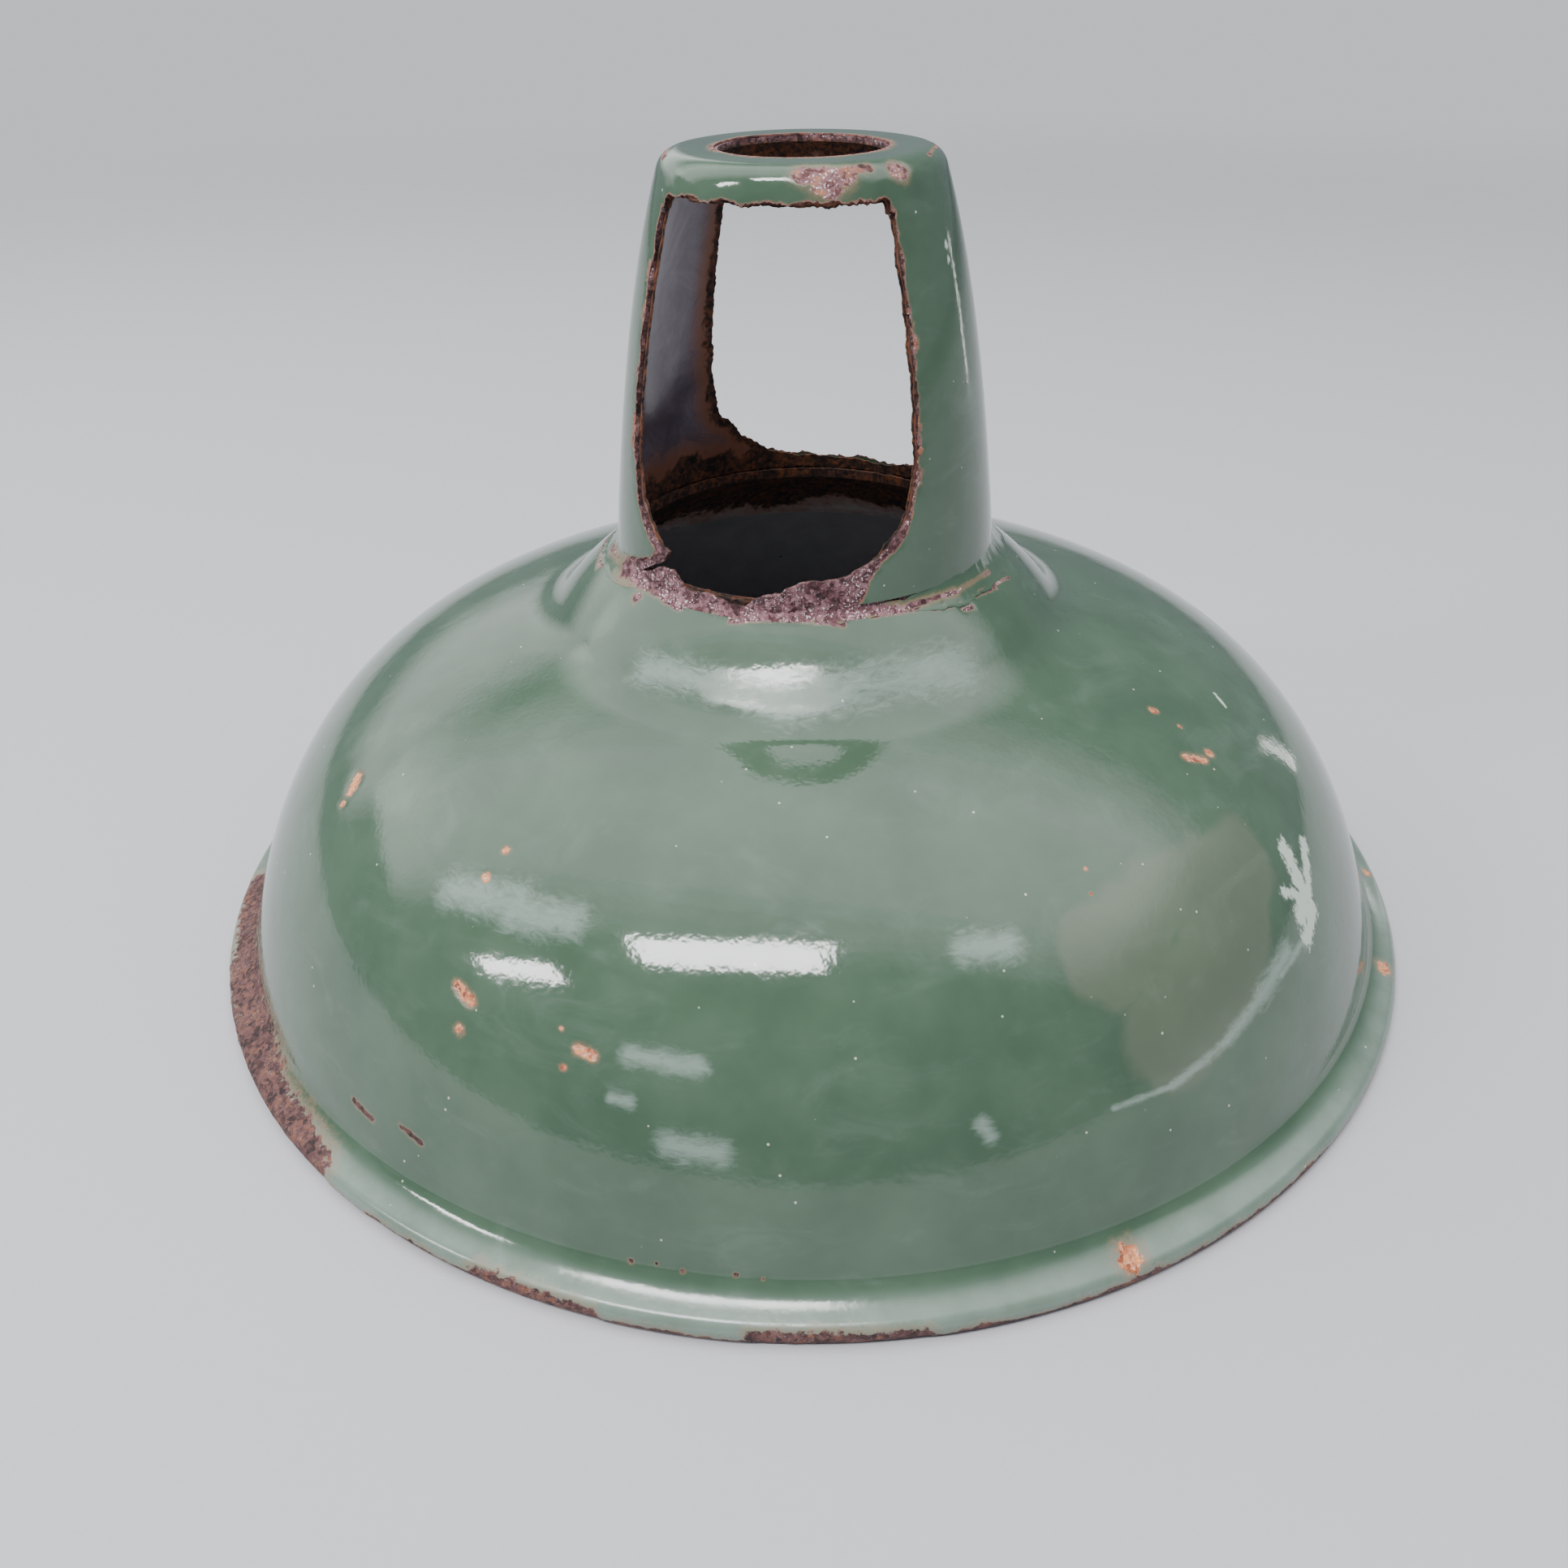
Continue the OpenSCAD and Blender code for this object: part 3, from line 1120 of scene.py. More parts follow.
class ReliefTree(GeometryTree):
    """Presses dents, orange peel and chips into a face, as far as its own attribute lets it."""

    dent_seed = 3.0
    peel_seed = 7.0

    def __init__(self, name: str, chips: tuple[Mark, ...]) -> None:
        """Builds the tree for one set of chips."""
        super().__init__(name)
        self.add_inputs()
        geometry = self.shaped(self.source.outputs["Geometry"])
        self.end(self.pressed(geometry, chips))

    def add_inputs(self) -> None:
        """Adds the sizes that the tree takes."""
        for title in ("Dent Depth", "Dent Size", "Peel Depth", "Peel Size", "Chip Depth"):
            self.add_input(title, "NodeSocketFloat")
        self.add_input("Material", "NodeSocketMaterial")

    def shaped(self, geometry: bpy.types.NodeSocket) -> bpy.types.NodeSocket:
        """The geometry before its relief."""
        return geometry

    def wave(self, size: Value, seed: float) -> Value:
        """Noise from 0 to 1 of a size that is an input."""
        inputs = {"Vector": self.position, "W": seed, "Scale": 1.0 / size}
        made = self.node("ShaderNodeTexNoise", {"noise_dimensions": "4D"}, inputs)
        return Value(self, made.outputs[0])

    def pressed(
        self, geometry: bpy.types.NodeSocket, chips: tuple[Mark, ...]
    ) -> bpy.types.NodeSocket:
        """Moves the face into the wall along its normal."""
        grain = self.grain(self.position)
        depth = self.given("Dent Depth") * self.wave(self.given("Dent Size"), self.dent_seed)
        peel = self.given("Peel Depth") * self.wave(self.given("Peel Size"), self.peel_seed)
        depth = depth + peel
        near = self.reach(self.position, chips) + (grain - 0.5) * 1.7
        depth = depth + self.given("Chip Depth") * self.step(near, 1.15, 0.8)
        depth = depth * self.stored("relief")
        normal = self.node("GeometryNodeInputNormal").outputs[0]
        moved = {"Geometry": geometry, "Offset": self.scaled(normal, 0.0 - depth)}
        return self.node("GeometryNodeSetPosition", None, moved).outputs[0]


class LatheTree(ReliefTree):
    """Turns a section's ring of points round the axis, and presses the relief into the result."""

    def add_inputs(self) -> None:
        """Adds the number of segments to the sizes."""
        super().add_inputs()
        self.add_input("Segments", "NodeSocketInt")

    def shaped(self, geometry: bpy.types.NodeSocket) -> bpy.types.NodeSocket:
        """Lays a grid of the section's points by the turn's steps, and rolls it up."""
        size = self.node("GeometryNodeAttributeDomainSize", None, {0: geometry})
        count = Value(self, size.outputs["Point Count"])
        inputs = {0: 1.0, 1: 1.0, 2: self.given("Segments") + 1, 3: count + 1}
        grid = self.node("GeometryNodeMeshGrid", None, inputs)
        across = self.coordinate(self.position, "X") + 0.5
        along = self.coordinate(self.position, "Y") + 0.5
        ring = self.math("ROUND", along * count)
        ring = self.math("MODULO", ring + 0.25, count)
        ring = self.math("FLOOR", ring)
        place = self.sampled(geometry, ring, "FLOAT_VECTOR", self.position)
        weight = self.sampled(geometry, ring, "FLOAT", self.stored("relief"))
        named = {"Geometry": grid.outputs["Mesh"], "Name": "relief", "Value": weight}
        settings = {"data_type": "FLOAT", "domain": "POINT"}
        marked = self.node("GeometryNodeStoreNamedAttribute", settings, named)
        angle = across * math.tau
        radius = self.coordinate(place, "X")
        parts = {
            0: radius * self.math("COSINE", angle),
            1: radius * self.math("SINE", angle),
            2: self.coordinate(place, "Z"),
        }
        spot = self.node("ShaderNodeCombineXYZ", None, parts).outputs[0]
        rolled = {"Geometry": marked.outputs[0], "Position": spot}
        turned = self.node("GeometryNodeSetPosition", None, rolled).outputs[0]
        merged = {"Geometry": turned, "Distance": 0.002 * MM}
        return self.node("GeometryNodeMergeByDistance", None, merged).outputs[0]

    def sampled(
        self, geometry: bpy.types.NodeSocket, index: Value, kind: str, value: Link
    ) -> bpy.types.NodeSocket:
        """The value that the section's point of an index has."""
        settings = {"data_type": kind, "domain": "POINT"}
        inputs = {"Geometry": geometry, "Value": value, "Index": index}
        return self.node("GeometryNodeSampleIndex", settings, inputs).outputs[0]


# ---------------------------------------------------------------- meshes


def set_numbers(mesh: bpy.types.Mesh, name: str, values: np.ndarray) -> None:
    """Gives a mesh a number for each of its points."""
    made = mesh.attributes.get(name) or mesh.attributes.new(name, "FLOAT", "POINT")
    made.data.foreach_set("value", np.asarray(values, np.float32))


def coordinates(mesh: bpy.types.Mesh) -> np.ndarray:
    """A mesh's points as rows."""
    flat = np.empty(len(mesh.vertices) * 3, np.float32)
    mesh.vertices.foreach_get("co", flat)
    return flat.reshape(-1, 3).astype(float)


def face_outwards(mesh: bpy.types.Mesh, sharp_angle: float = 50.0) -> None:
    """Points a closed mesh's faces outwards, and smooths all but its sharp edges."""
    work = bmesh.new()
    work.from_mesh(mesh)
    bmesh.ops.recalc_face_normals(work, faces=work.faces)
    work.to_mesh(mesh)
    work.free()
    mesh.shade_smooth()
    mesh.set_sharp_from_angle(angle=math.radians(sharp_angle))


def ring_mesh(name: str, outer: np.ndarray, inner: np.ndarray, relief: float = 1.0) -> bpy.types.Mesh:
    """A section's closed ring of points, which a lathe tree turns.

    Args:
        name: The mesh's name.
        outer: The face that takes the relief.
        inner: The hidden face, running the same way.
        relief: The share of the relief that the outer face takes.

    Returns:
        A mesh of points only.
    """
    points = np.vstack([outer, inner[::-1]])
    weights = np.zeros(len(points))
    weights[1:len(outer) - 1] = relief
    ahead = np.roll(points, -1, axis=0)
    if np.sum(points[:, 0] * ahead[:, 1] - ahead[:, 0] * points[:, 1]) < 0:
        points, weights = points[::-1], weights[::-1]
    mesh = bpy.data.meshes.new(name)
    mesh.from_pydata([(r, 0.0, z) for r, z in points], [], [])
    set_numbers(mesh, "relief", weights)
    return mesh


def fit_piece(piece: bpy.types.Object, slot: Slot, *nodes: str) -> bpy.types.Object:
    """Makes a finished piece ride on the shade, in place of CAD nodes, and reports it."""
    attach(piece, BODY)
    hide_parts(*nodes)
    LOG.info("%s: %d points, %d faces", piece.name, len(piece.data.vertices), len(piece.data.polygons))
    return piece


# ---------------------------------------------------------------- the dome


@dataclass
class Dome:
    """The reflector: its pressed sheet, its green coat, and its white lining and lip."""

    segments: int = 480
    sheet_segments: int = 288
    boss_rounding: float = 4.5 * MM
    rim_rounding: float = 1.3 * MM
    collar_slack: float = 0.3 * MM
    collar_grain: float = 1.1 * MM
    collar_sunk: float = 0.2
    collar_swing: float = 0.3
    collar_left: float = 0.1
    notch_sunk: float = 0.5
    notch_bearing: float = -93.0
    notch_width: float = 2.5
    bare_relief: float = 0.3
    relief: Relief = field(default_factory=Relief)
    section: Section = SECTION

    def lathe(
        self, name: str, ring: bpy.types.Mesh, chips: tuple[Mark, ...],
        material: bpy.types.Material, segments: int,
    ) -> bpy.types.Object:
        """Turns one ring of section points into a finished mesh."""
        tree = LatheTree(name + "_lathe", chips)
        piece = tree.run(ring, name, self.relief.inputs(material) | {"Segments": segments})
        face_outwards(piece.data)
        return piece

    def face(self, bead: np.ndarray) -> np.ndarray:
        """The outside of the dome from the weld, ending in a stretch of the bead."""
        boss, dome = self.section.boss()[:-1], self.section.dome()
        whole = np.vstack([boss, dome, bead])
        whole = softened(whole, len(boss) + len(dome) - 1, self.rim_rounding)
        return softened(whole, len(boss), self.boss_rounding)

    def coat(self) -> None:
        """The green coat, which stops under the bead."""
        part = self.section
        face = self.face(part.bead(0, part.coat_share, 16))
        back = thinned(inset(face, part.coat), 4)
        material = GreenEnamel(
            "green_enamel_dome", DOME_CHIPS, RIM_SCALE + FOOT_SCALE, SCUFFS_AND_SHEEN, FILM, PAINT_SMEARS
        ).make()
        ring = ring_mesh("dome_coat_ring", face, back)
        chips = DOME_CHIPS + RIM_SCALE + FOOT_SCALE
        piece = self.lathe("dome_green_coat", ring, chips, material, self.segments)
        fit_piece(piece, Slot.GREEN, "dome_outer_enamel")

    def sheet(self) -> None:
        """The pressed steel, with a ragged collar inside the neck's foot."""
        part = self.section
        face = np.vstack([part.collar(), part.boss()[::3], thinned(part.dome()[1:], 3), part.bead()])
        rise = bezier(list(part.collar()), 4)
        face = np.vstack([rise, face[2:]])
        outer, inner = inset(face, part.coat), inset(face, part.skin)
        ring = ring_mesh("dome_sheet_ring", outer, inner, self.bare_relief)
        material = RustedSteel("rusted_sheet_dome", MAROON).make()
        piece = self.lathe("dome_steel_sheet", ring, RIM_SCALE, material, self.sheet_segments)
        self.tear_collar(piece.data)
        fit_piece(piece, Slot.STEEL, "dome_steel")

    def tear_collar(self, mesh: bpy.types.Mesh) -> None:
        """Lowers the collar's edge unevenly, most at the front notch."""
        part = self.section
        spots = coordinates(mesh)
        radius = np.hypot(spots[:, 0], spots[:, 1])
        bearing = np.degrees(np.arctan2(spots[:, 1], spots[:, 0]))
        floor_z = part.collar()[1][1]
        above = spots[:, 2] > floor_z - self.collar_slack
        turned_up = (radius < part.foot_r - part.steel) & above
        for i in np.flatnonzero(turned_up):
            x, y, _ = spots[i]
            ragged = noise.fractal(Vector((x, y, 0.0)) / self.collar_grain, 0.8, 2.0, 4)
            notch = math.exp(-(((bearing[i] - self.notch_bearing) / self.notch_width) ** 2))
            share = (spots[i, 2] - floor_z) / (part.sill_z - floor_z)
            sunk = self.collar_sunk + self.collar_swing * ragged + self.notch_sunk * notch
            sunk = min(1.0, max(0.0, sunk)) * (1 - self.collar_left)
            spots[i, 2] -= max(0.0, share) * sunk * (part.sill_z - floor_z)
        mesh.vertices.foreach_set("co", spots.astype(np.float32).ravel())
        set_numbers(mesh, "inward", turned_up.astype(float))

    def lining(self) -> None:
        """The white lining up to the flange, and the lip of white that comes back round the bead."""
        part = self.section
        flange = part.crease + (part.bead(0, 0, 1)[0] - part.crease) * part.flange_share
        face = np.vstack([part.collar(), part.boss()[::2], thinned(part.dome()[1:], 2), [flange]])
        material = WhiteEnamel("white_enamel_dome", False).make()
        ring = ring_mesh("lining_ring", inset(face, part.wall), inset(face, part.skin))
        piece = self.lathe("dome_white_lining", ring, LINING_CHIP, material, self.sheet_segments)
        fit_piece(piece, Slot.WHITE, "dome_inner_enamel")
        lip = part.bead(part.lip_share, 1, 8)
        ring = ring_mesh("lip_ring", lip, inset(lip, part.coat), self.bare_relief)
        piece = self.lathe("bead_white_lip", ring, LINING_CHIP, material, self.sheet_segments)
        fit_piece(piece, Slot.WHITE, "dome_inner_enamel")

    def build(self) -> None:
        """Builds the reflector's pieces."""
        self.coat()
        self.sheet()
        self.lining()


# ---------------------------------------------------------------- the neck


Outline = list[tuple[float, float]]

# The front window's torn edge, from the left leg's side to the right leg's: bearing and height in mm.
# It rounds the toe of the left leg, runs into the tear under it and comes back along the sill.
TORN_SILL: Outline = [
    (-131.6, 93.5), (-128.8, 91.2), (-124.4, 89.4), (-119.0, 88.6), (-120.5, 87.0), (-122.7, 86.1),
    (-128.0, 84.1), (-132.8, 82.4), (-128.0, 83.5), (-122.7, 85.0), (-118.0, 85.4), (-115.8, 84.4),
    (-113.6, 83.0), (-110.0, 82.8), (-104.0, 82.9), (-99.2, 82.3), (-93.2, 81.5), (-90.7, 83.0),
    (-88.1, 83.8), (-83.0, 84.4), (-82.0, 85.3), (-79.6, 86.0), (-76.0, 86.7), (-71.0, 86.7),
    (-66.6, 87.0), (-61.0, 88.4), (-57.1, 89.1), (-52.8, 90.8), (-48.4, 93.5), (-44.5, 96.0),
]

# The edge of the green coat round the same window, which is bare down to the weld along the sill
BARE_SILL: Outline = [
    (-132.8, 93.5), (-130.4, 90.9), (-126.8, 88.8), (-124.2, 87.7), (-128.0, 86.3), (-134.0, 84.7),
    (-140.0, 83.6), (-146.0, 82.9), (-149.0, 81.0), (-60.5, 81.0), (-59.5, 83.2), (-58.0, 85.4),
    (-55.0, 87.6), (-51.0, 90.0), (-46.6, 92.8), (-43.4, 95.8),
]

# The back window's sill, which has rusted down towards the foot
WORN_SILL: Outline = [
    (47.0, 93.0), (49.4, 90.9), (52.0, 89.0), (55.0, 87.0), (58.0, 85.4), (63.0, 83.4), (72.0, 82.6),
    (80.0, 82.7), (86.0, 83.2), (93.0, 82.7), (100.0, 83.3), (107.0, 83.5), (113.0, 84.1),
    (117.0, 85.0), (121.0, 86.3), (125.0, 88.1), (129.0, 90.3), (133.0, 93.2),
]


def raised(sill: Outline, rise_mm: float) -> Outline:
    """A sill's outline moved up."""
    return [(bearing, height + rise_mm) for bearing, height in sill]


@dataclass(frozen=True)
class Window:
    """A window's outline, seen along Y: a rounded lower half, tapering sides and a straight top."""

    top_z: float = 147.1 * MM
    top_w: float = 19.6 * MM
    wide: float = 26.4 * MM
    mid_z: float = 105 * MM
    sill_z: float = SECTION.sill_z
    corner: float = 2.0 * MM
    roundness: float = 2.7
    taper: float = 1.5
    join: float = 0.5 * MM

    def flat_outline(self) -> np.ndarray:
        """The outline as rows of x and z, from the middle of the sill round by +x."""
        angles = np.radians(np.linspace(270, 360, 40))
        power = 2 / self.roundness
        bowl_x = self.wide * np.abs(np.cos(angles)) ** power
        bowl_z = self.mid_z - (self.mid_z - self.sill_z) * np.abs(np.sin(angles)) ** power
        side_h = self.top_z - self.mid_z
        share = np.linspace(0, 1 - self.corner / side_h, 24)[1:]
        side_x = self.wide - (self.wide - self.top_w) * share**self.taper
        centre = np.array([self.top_w - self.corner, self.top_z - self.corner])
        bowl = np.stack([bowl_x, bowl_z], axis=1)
        side = np.stack([side_x, self.mid_z + side_h * share], axis=1)
        half = np.vstack([bowl, side, arc(centre, self.corner, 0, 90, 8)])
        return np.vstack([half, (half * [-1, 1])[::-1]])

    def outline(self, side: int, sill: Outline) -> np.ndarray:
        """The window's edge on the neck's face, with its lower part replaced.

        Args:
            side: -1 for the front window and 1 for the back one.
            sill: Bearings and heights of the lower part, from one leg to the other.

        Returns:
            Rows of bearing in degrees and length along the neck's profile, as a closed loop.
        """
        flat = self.flat_outline()
        radius = NECK.radius_at(flat[:, 1])
        bearing = side * np.degrees(np.arccos(np.clip(flat[:, 0] / radius, -1, 1)))
        lower = np.array(sill) * [1.0, MM]
        left = (bearing < side * 90) & (flat[:, 1] > lower[0, 1] + self.join)
        right = (bearing >= side * 90) & (flat[:, 1] > lower[-1, 1] + self.join)
        rising = np.stack([bearing[right], flat[right, 1]], axis=1)
        falling = np.stack([bearing[left], flat[left, 1]], axis=1)
        rising = rising[np.argsort(rising[:, 1], kind="stable")]
        falling = falling[np.argsort(-falling[:, 1], kind="stable")]
        loop = np.vstack([falling, lower, rising])
        return np.stack([loop[:, 0], NECK.length_at(loop[:, 1])], axis=1)


def densified(loop: np.ndarray, spacing: float) -> np.ndarray:
    """A closed loop with points no further apart than a spacing."""
    rows = []
    for start, end in zip(loop, np.roll(loop, -1, axis=0)):
        count = max(1, math.ceil(np.linalg.norm(end - start) / spacing))
        rows += [start + (end - start) * i / count for i in range(count)]
    return np.array(rows)


EDGE_WAVE = 4.5 * MM
EDGE_GRAIN = 1.0 * MM
EDGE_OVERHANG = 0.3 * MM


def roughened(loop: np.ndarray, back: float, swing: float, seed: float) -> np.ndarray:
    """A closed anticlockwise loop moved outwards by an uneven amount.

    Args:
        loop: The loop's points, close together.
        back: The mean distance that it moves.
        swing: How far that varies either way.
        seed: Where in the noise the variation is read.

    Returns:
        The moved points.
    """
    along = np.roll(loop, -1, axis=0) - np.roll(loop, 1, axis=0)
    along /= np.maximum(np.linalg.norm(along, axis=1), 1e-9)[:, None]
    out = np.stack([along[:, 1], -along[:, 0]], axis=1)
    moved = []
    for point in loop:
        place = Vector((point[0], point[1], 0.0))
        coarse = noise.noise(place / EDGE_WAVE + Vector((seed, 0, 0)))
        fine = noise.fractal(place / EDGE_GRAIN + Vector((0, seed, 0)), 0.7, 2.0, 4)
        moved.append(max(back - EDGE_OVERHANG, back + swing * (1.1 * coarse + 0.55 * fine)))
    return loop + out * np.array(moved)[:, None]


def inside(points: np.ndarray, loop: np.ndarray) -> np.ndarray:
    """Which points lie inside a closed loop."""
    found = np.zeros(len(points), bool)
    for (x1, y1), (x2, y2) in zip(loop, np.roll(loop, -1, axis=0)):
        if y1 == y2:
            continue
        spans = (points[:, 1] < y1) != (points[:, 1] < y2)
        cross = x1 + (points[:, 1] - y1) * (x2 - x1) / (y2 - y1)
        found ^= spans & (points[:, 0] < cross)
    return found


def distance_to(points: np.ndarray, loop: np.ndarray) -> np.ndarray:
    """Distance from each point to a closed loop."""
    best = np.full(len(points), np.inf)
    for start, end in zip(loop, np.roll(loop, -1, axis=0)):
        span = end - start
        share = np.clip((points - start) @ span / max(span @ span, 1e-18), 0, 1)
        best = np.minimum(best, np.linalg.norm(points - start - share[:, None] * span, axis=1))
    return best


def open_sides(faces: list[tuple[int, ...]]) -> list[tuple[int, int]]:
    """The sides that only one triangle has, each running as it does in that triangle."""
    found: dict[tuple[int, int], None] = {}
    for a, b, c in faces:
        for side in ((a, b), (b, c), (c, a)):
            if side[::-1] in found:
                del found[side[::-1]]
            else:
                found[side] = None
    return list(found)


@dataclass
class NeckLayer:
    """One layer of the neck, cut out flat and wrapped round the axis."""

    name: str
    outer: float
    inner: float
    start: float
    end_z: float
    edge: Edge
    holes: list[np.ndarray]
    round_depth: float = 0.0
    flat_r: float = 33 * MM
    spacing: float = 1.05 * MM
    row_share: float = 0.87
    clear_share: float = 0.45
    edge_spacing: float = 0.45 * MM
    edge_rounding: float = 0.7 * MM
    edge_calm: float = 1.2 * MM
    edge_seen: float = 20 * MM

    def seed(self, hole: int) -> float:
        """Where in the noise a hole's rough edge is read."""
        return 11.0 + 7 * hole + 100 * self.outer / MM

    def flat(self, loop: np.ndarray) -> np.ndarray:
        """Bearings and lengths as plain distances on the flat sheet."""
        return np.stack([np.radians(loop[:, 0]) * self.flat_r, loop[:, 1]], axis=1)

    def border(self, low: float, high: float) -> np.ndarray:
        """The flat sheet's own rectangle, with the same points on both sides of its seam."""
        half = math.pi * self.flat_r
        across = np.linspace(-half, half, round(2 * half / self.spacing) + 1)
        along = np.linspace(low, high, round((high - low) / self.spacing) + 1)
        return np.vstack([
            np.stack([across[:-1], np.full(len(across) - 1, low)], axis=1),
            np.stack([np.full(len(along) - 1, half), along[:-1]], axis=1),
            np.stack([across[:0:-1], np.full(len(across) - 1, high)], axis=1),
            np.stack([np.full(len(along) - 1, -half), along[:0:-1]], axis=1),
        ])

    def filling(self, low: float, high: float, loops: list[np.ndarray]) -> np.ndarray:
        """Points spread over the sheet, clear of every edge."""
        half = math.pi * self.flat_r
        rows = []
        for k, y in enumerate(np.arange(low, high, self.spacing * self.row_share)):
            shift = self.spacing * (0.5 if k % 2 else 0.0)
            xs = np.arange(-half + shift, half, self.spacing)
            rows.append(np.stack([xs, np.full(len(xs), y)], axis=1))
        points = np.vstack(rows)
        clear = np.ones(len(points), bool)
        for loop in loops:
            clear &= distance_to(points, loop) > self.spacing * self.clear_share
        return points[clear]

    def triangles(self) -> tuple[np.ndarray, np.ndarray, np.ndarray]:
        """Cuts the sheet.

        Returns:
            Its flat points, its triangles, and each point's distance from a window's edge.
        """
        low = self.start
        high = float(NECK.length_at(self.end_z))
        back, swing = self.edge.value
        cuts = []
        for k, hole in enumerate(self.holes):
            dense = densified(self.flat(hole), self.edge_spacing)
            cuts.append(roughened(dense, back, swing, self.seed(k)))
        border = self.border(low, high)
        extra = self.filling(low, high, [border, *cuts])
        loops = [border, *cuts]
        points, edges = [], []
        for loop in loops:
            base = len(points)
            points += [Vector(p) for p in loop]
            edges += [(base + i, base + (i + 1) % len(loop)) for i in range(len(loop))]
        points += [Vector(p) for p in extra]
        spots, _, faces, *_ = delaunay_2d_cdt(points, edges, [], 0, 1e-7)
        spots = np.array([tuple(v) for v in spots])
        faces = np.array(faces)
        middles = spots[faces].mean(axis=1)
        keep = inside(middles, border)
        for cut in cuts:
            keep &= ~inside(middles, cut)
        faces = faces[keep]
        away = np.full(len(spots), np.inf)
        for cut in cuts:
            away = np.minimum(away, distance_to(spots, cut))
        return spots, faces, away

    def welded(self, spots: np.ndarray, faces: np.ndarray) -> np.ndarray:
        """The triangles with the seam's right-hand points swapped for its left-hand ones."""
        half = math.pi * self.flat_r
        left = np.flatnonzero(np.abs(spots[:, 0] + half) < 1e-6)
        right = np.flatnonzero(np.abs(spots[:, 0] - half) < 1e-6)
        swap = np.arange(len(spots))
        for i in right:
            swap[i] = left[np.argmin(np.abs(spots[left, 1] - spots[i, 1]))]
        return swap[faces]

    def wrapped(self, spots: np.ndarray, depth: np.ndarray) -> np.ndarray:
        """Flat points wrapped round the axis at depths in the wall."""
        section = NECK.at(spots[:, 1], depth)
        angle = spots[:, 0] / self.flat_r
        columns = [section[:, 0] * np.cos(angle), section[:, 0] * np.sin(angle), section[:, 1]]
        return np.stack(columns, axis=1)

    def mesh(self) -> bpy.types.Mesh:
        """The layer as a closed mesh, with its edges rounded off."""
        spots, faces, away = self.triangles()
        faces = self.welded(spots, faces)
        used = np.unique(faces)
        renumbered = np.full(len(spots), -1)
        renumbered[used] = np.arange(len(used))
        spots, faces, away = spots[used], renumbered[faces], away[used]
        near = np.clip(1 - away / self.edge_rounding, 0, 1) ** 2
        top = self.wrapped(spots, self.outer + self.round_depth * near)
        foot = self.wrapped(spots, np.full(len(spots), self.inner))
        count = len(spots)
        outside = [tuple(int(i) for i in face) for face in faces]
        lining = [tuple(i + count for i in face[::-1]) for face in outside]
        sides = open_sides(outside)
        walls = [(b, a, a + count, b + count) for a, b in sides]
        mesh = bpy.data.meshes.new(self.name)
        mesh.from_pydata(np.vstack([top, foot]).tolist(), [], outside + lining + walls)
        rim = np.unique(np.array(sides).ravel())
        relief = np.concatenate([np.clip(away / self.edge_calm, 0.25, 1), np.zeros(count)])
        relief[rim] = 0
        set_numbers(mesh, "relief", relief)
        set_numbers(mesh, "edge", np.clip(np.concatenate([away, away]), 0, self.edge_seen))
        set_numbers(mesh, "inward", np.concatenate([np.zeros(count), np.ones(count)]))
        return mesh


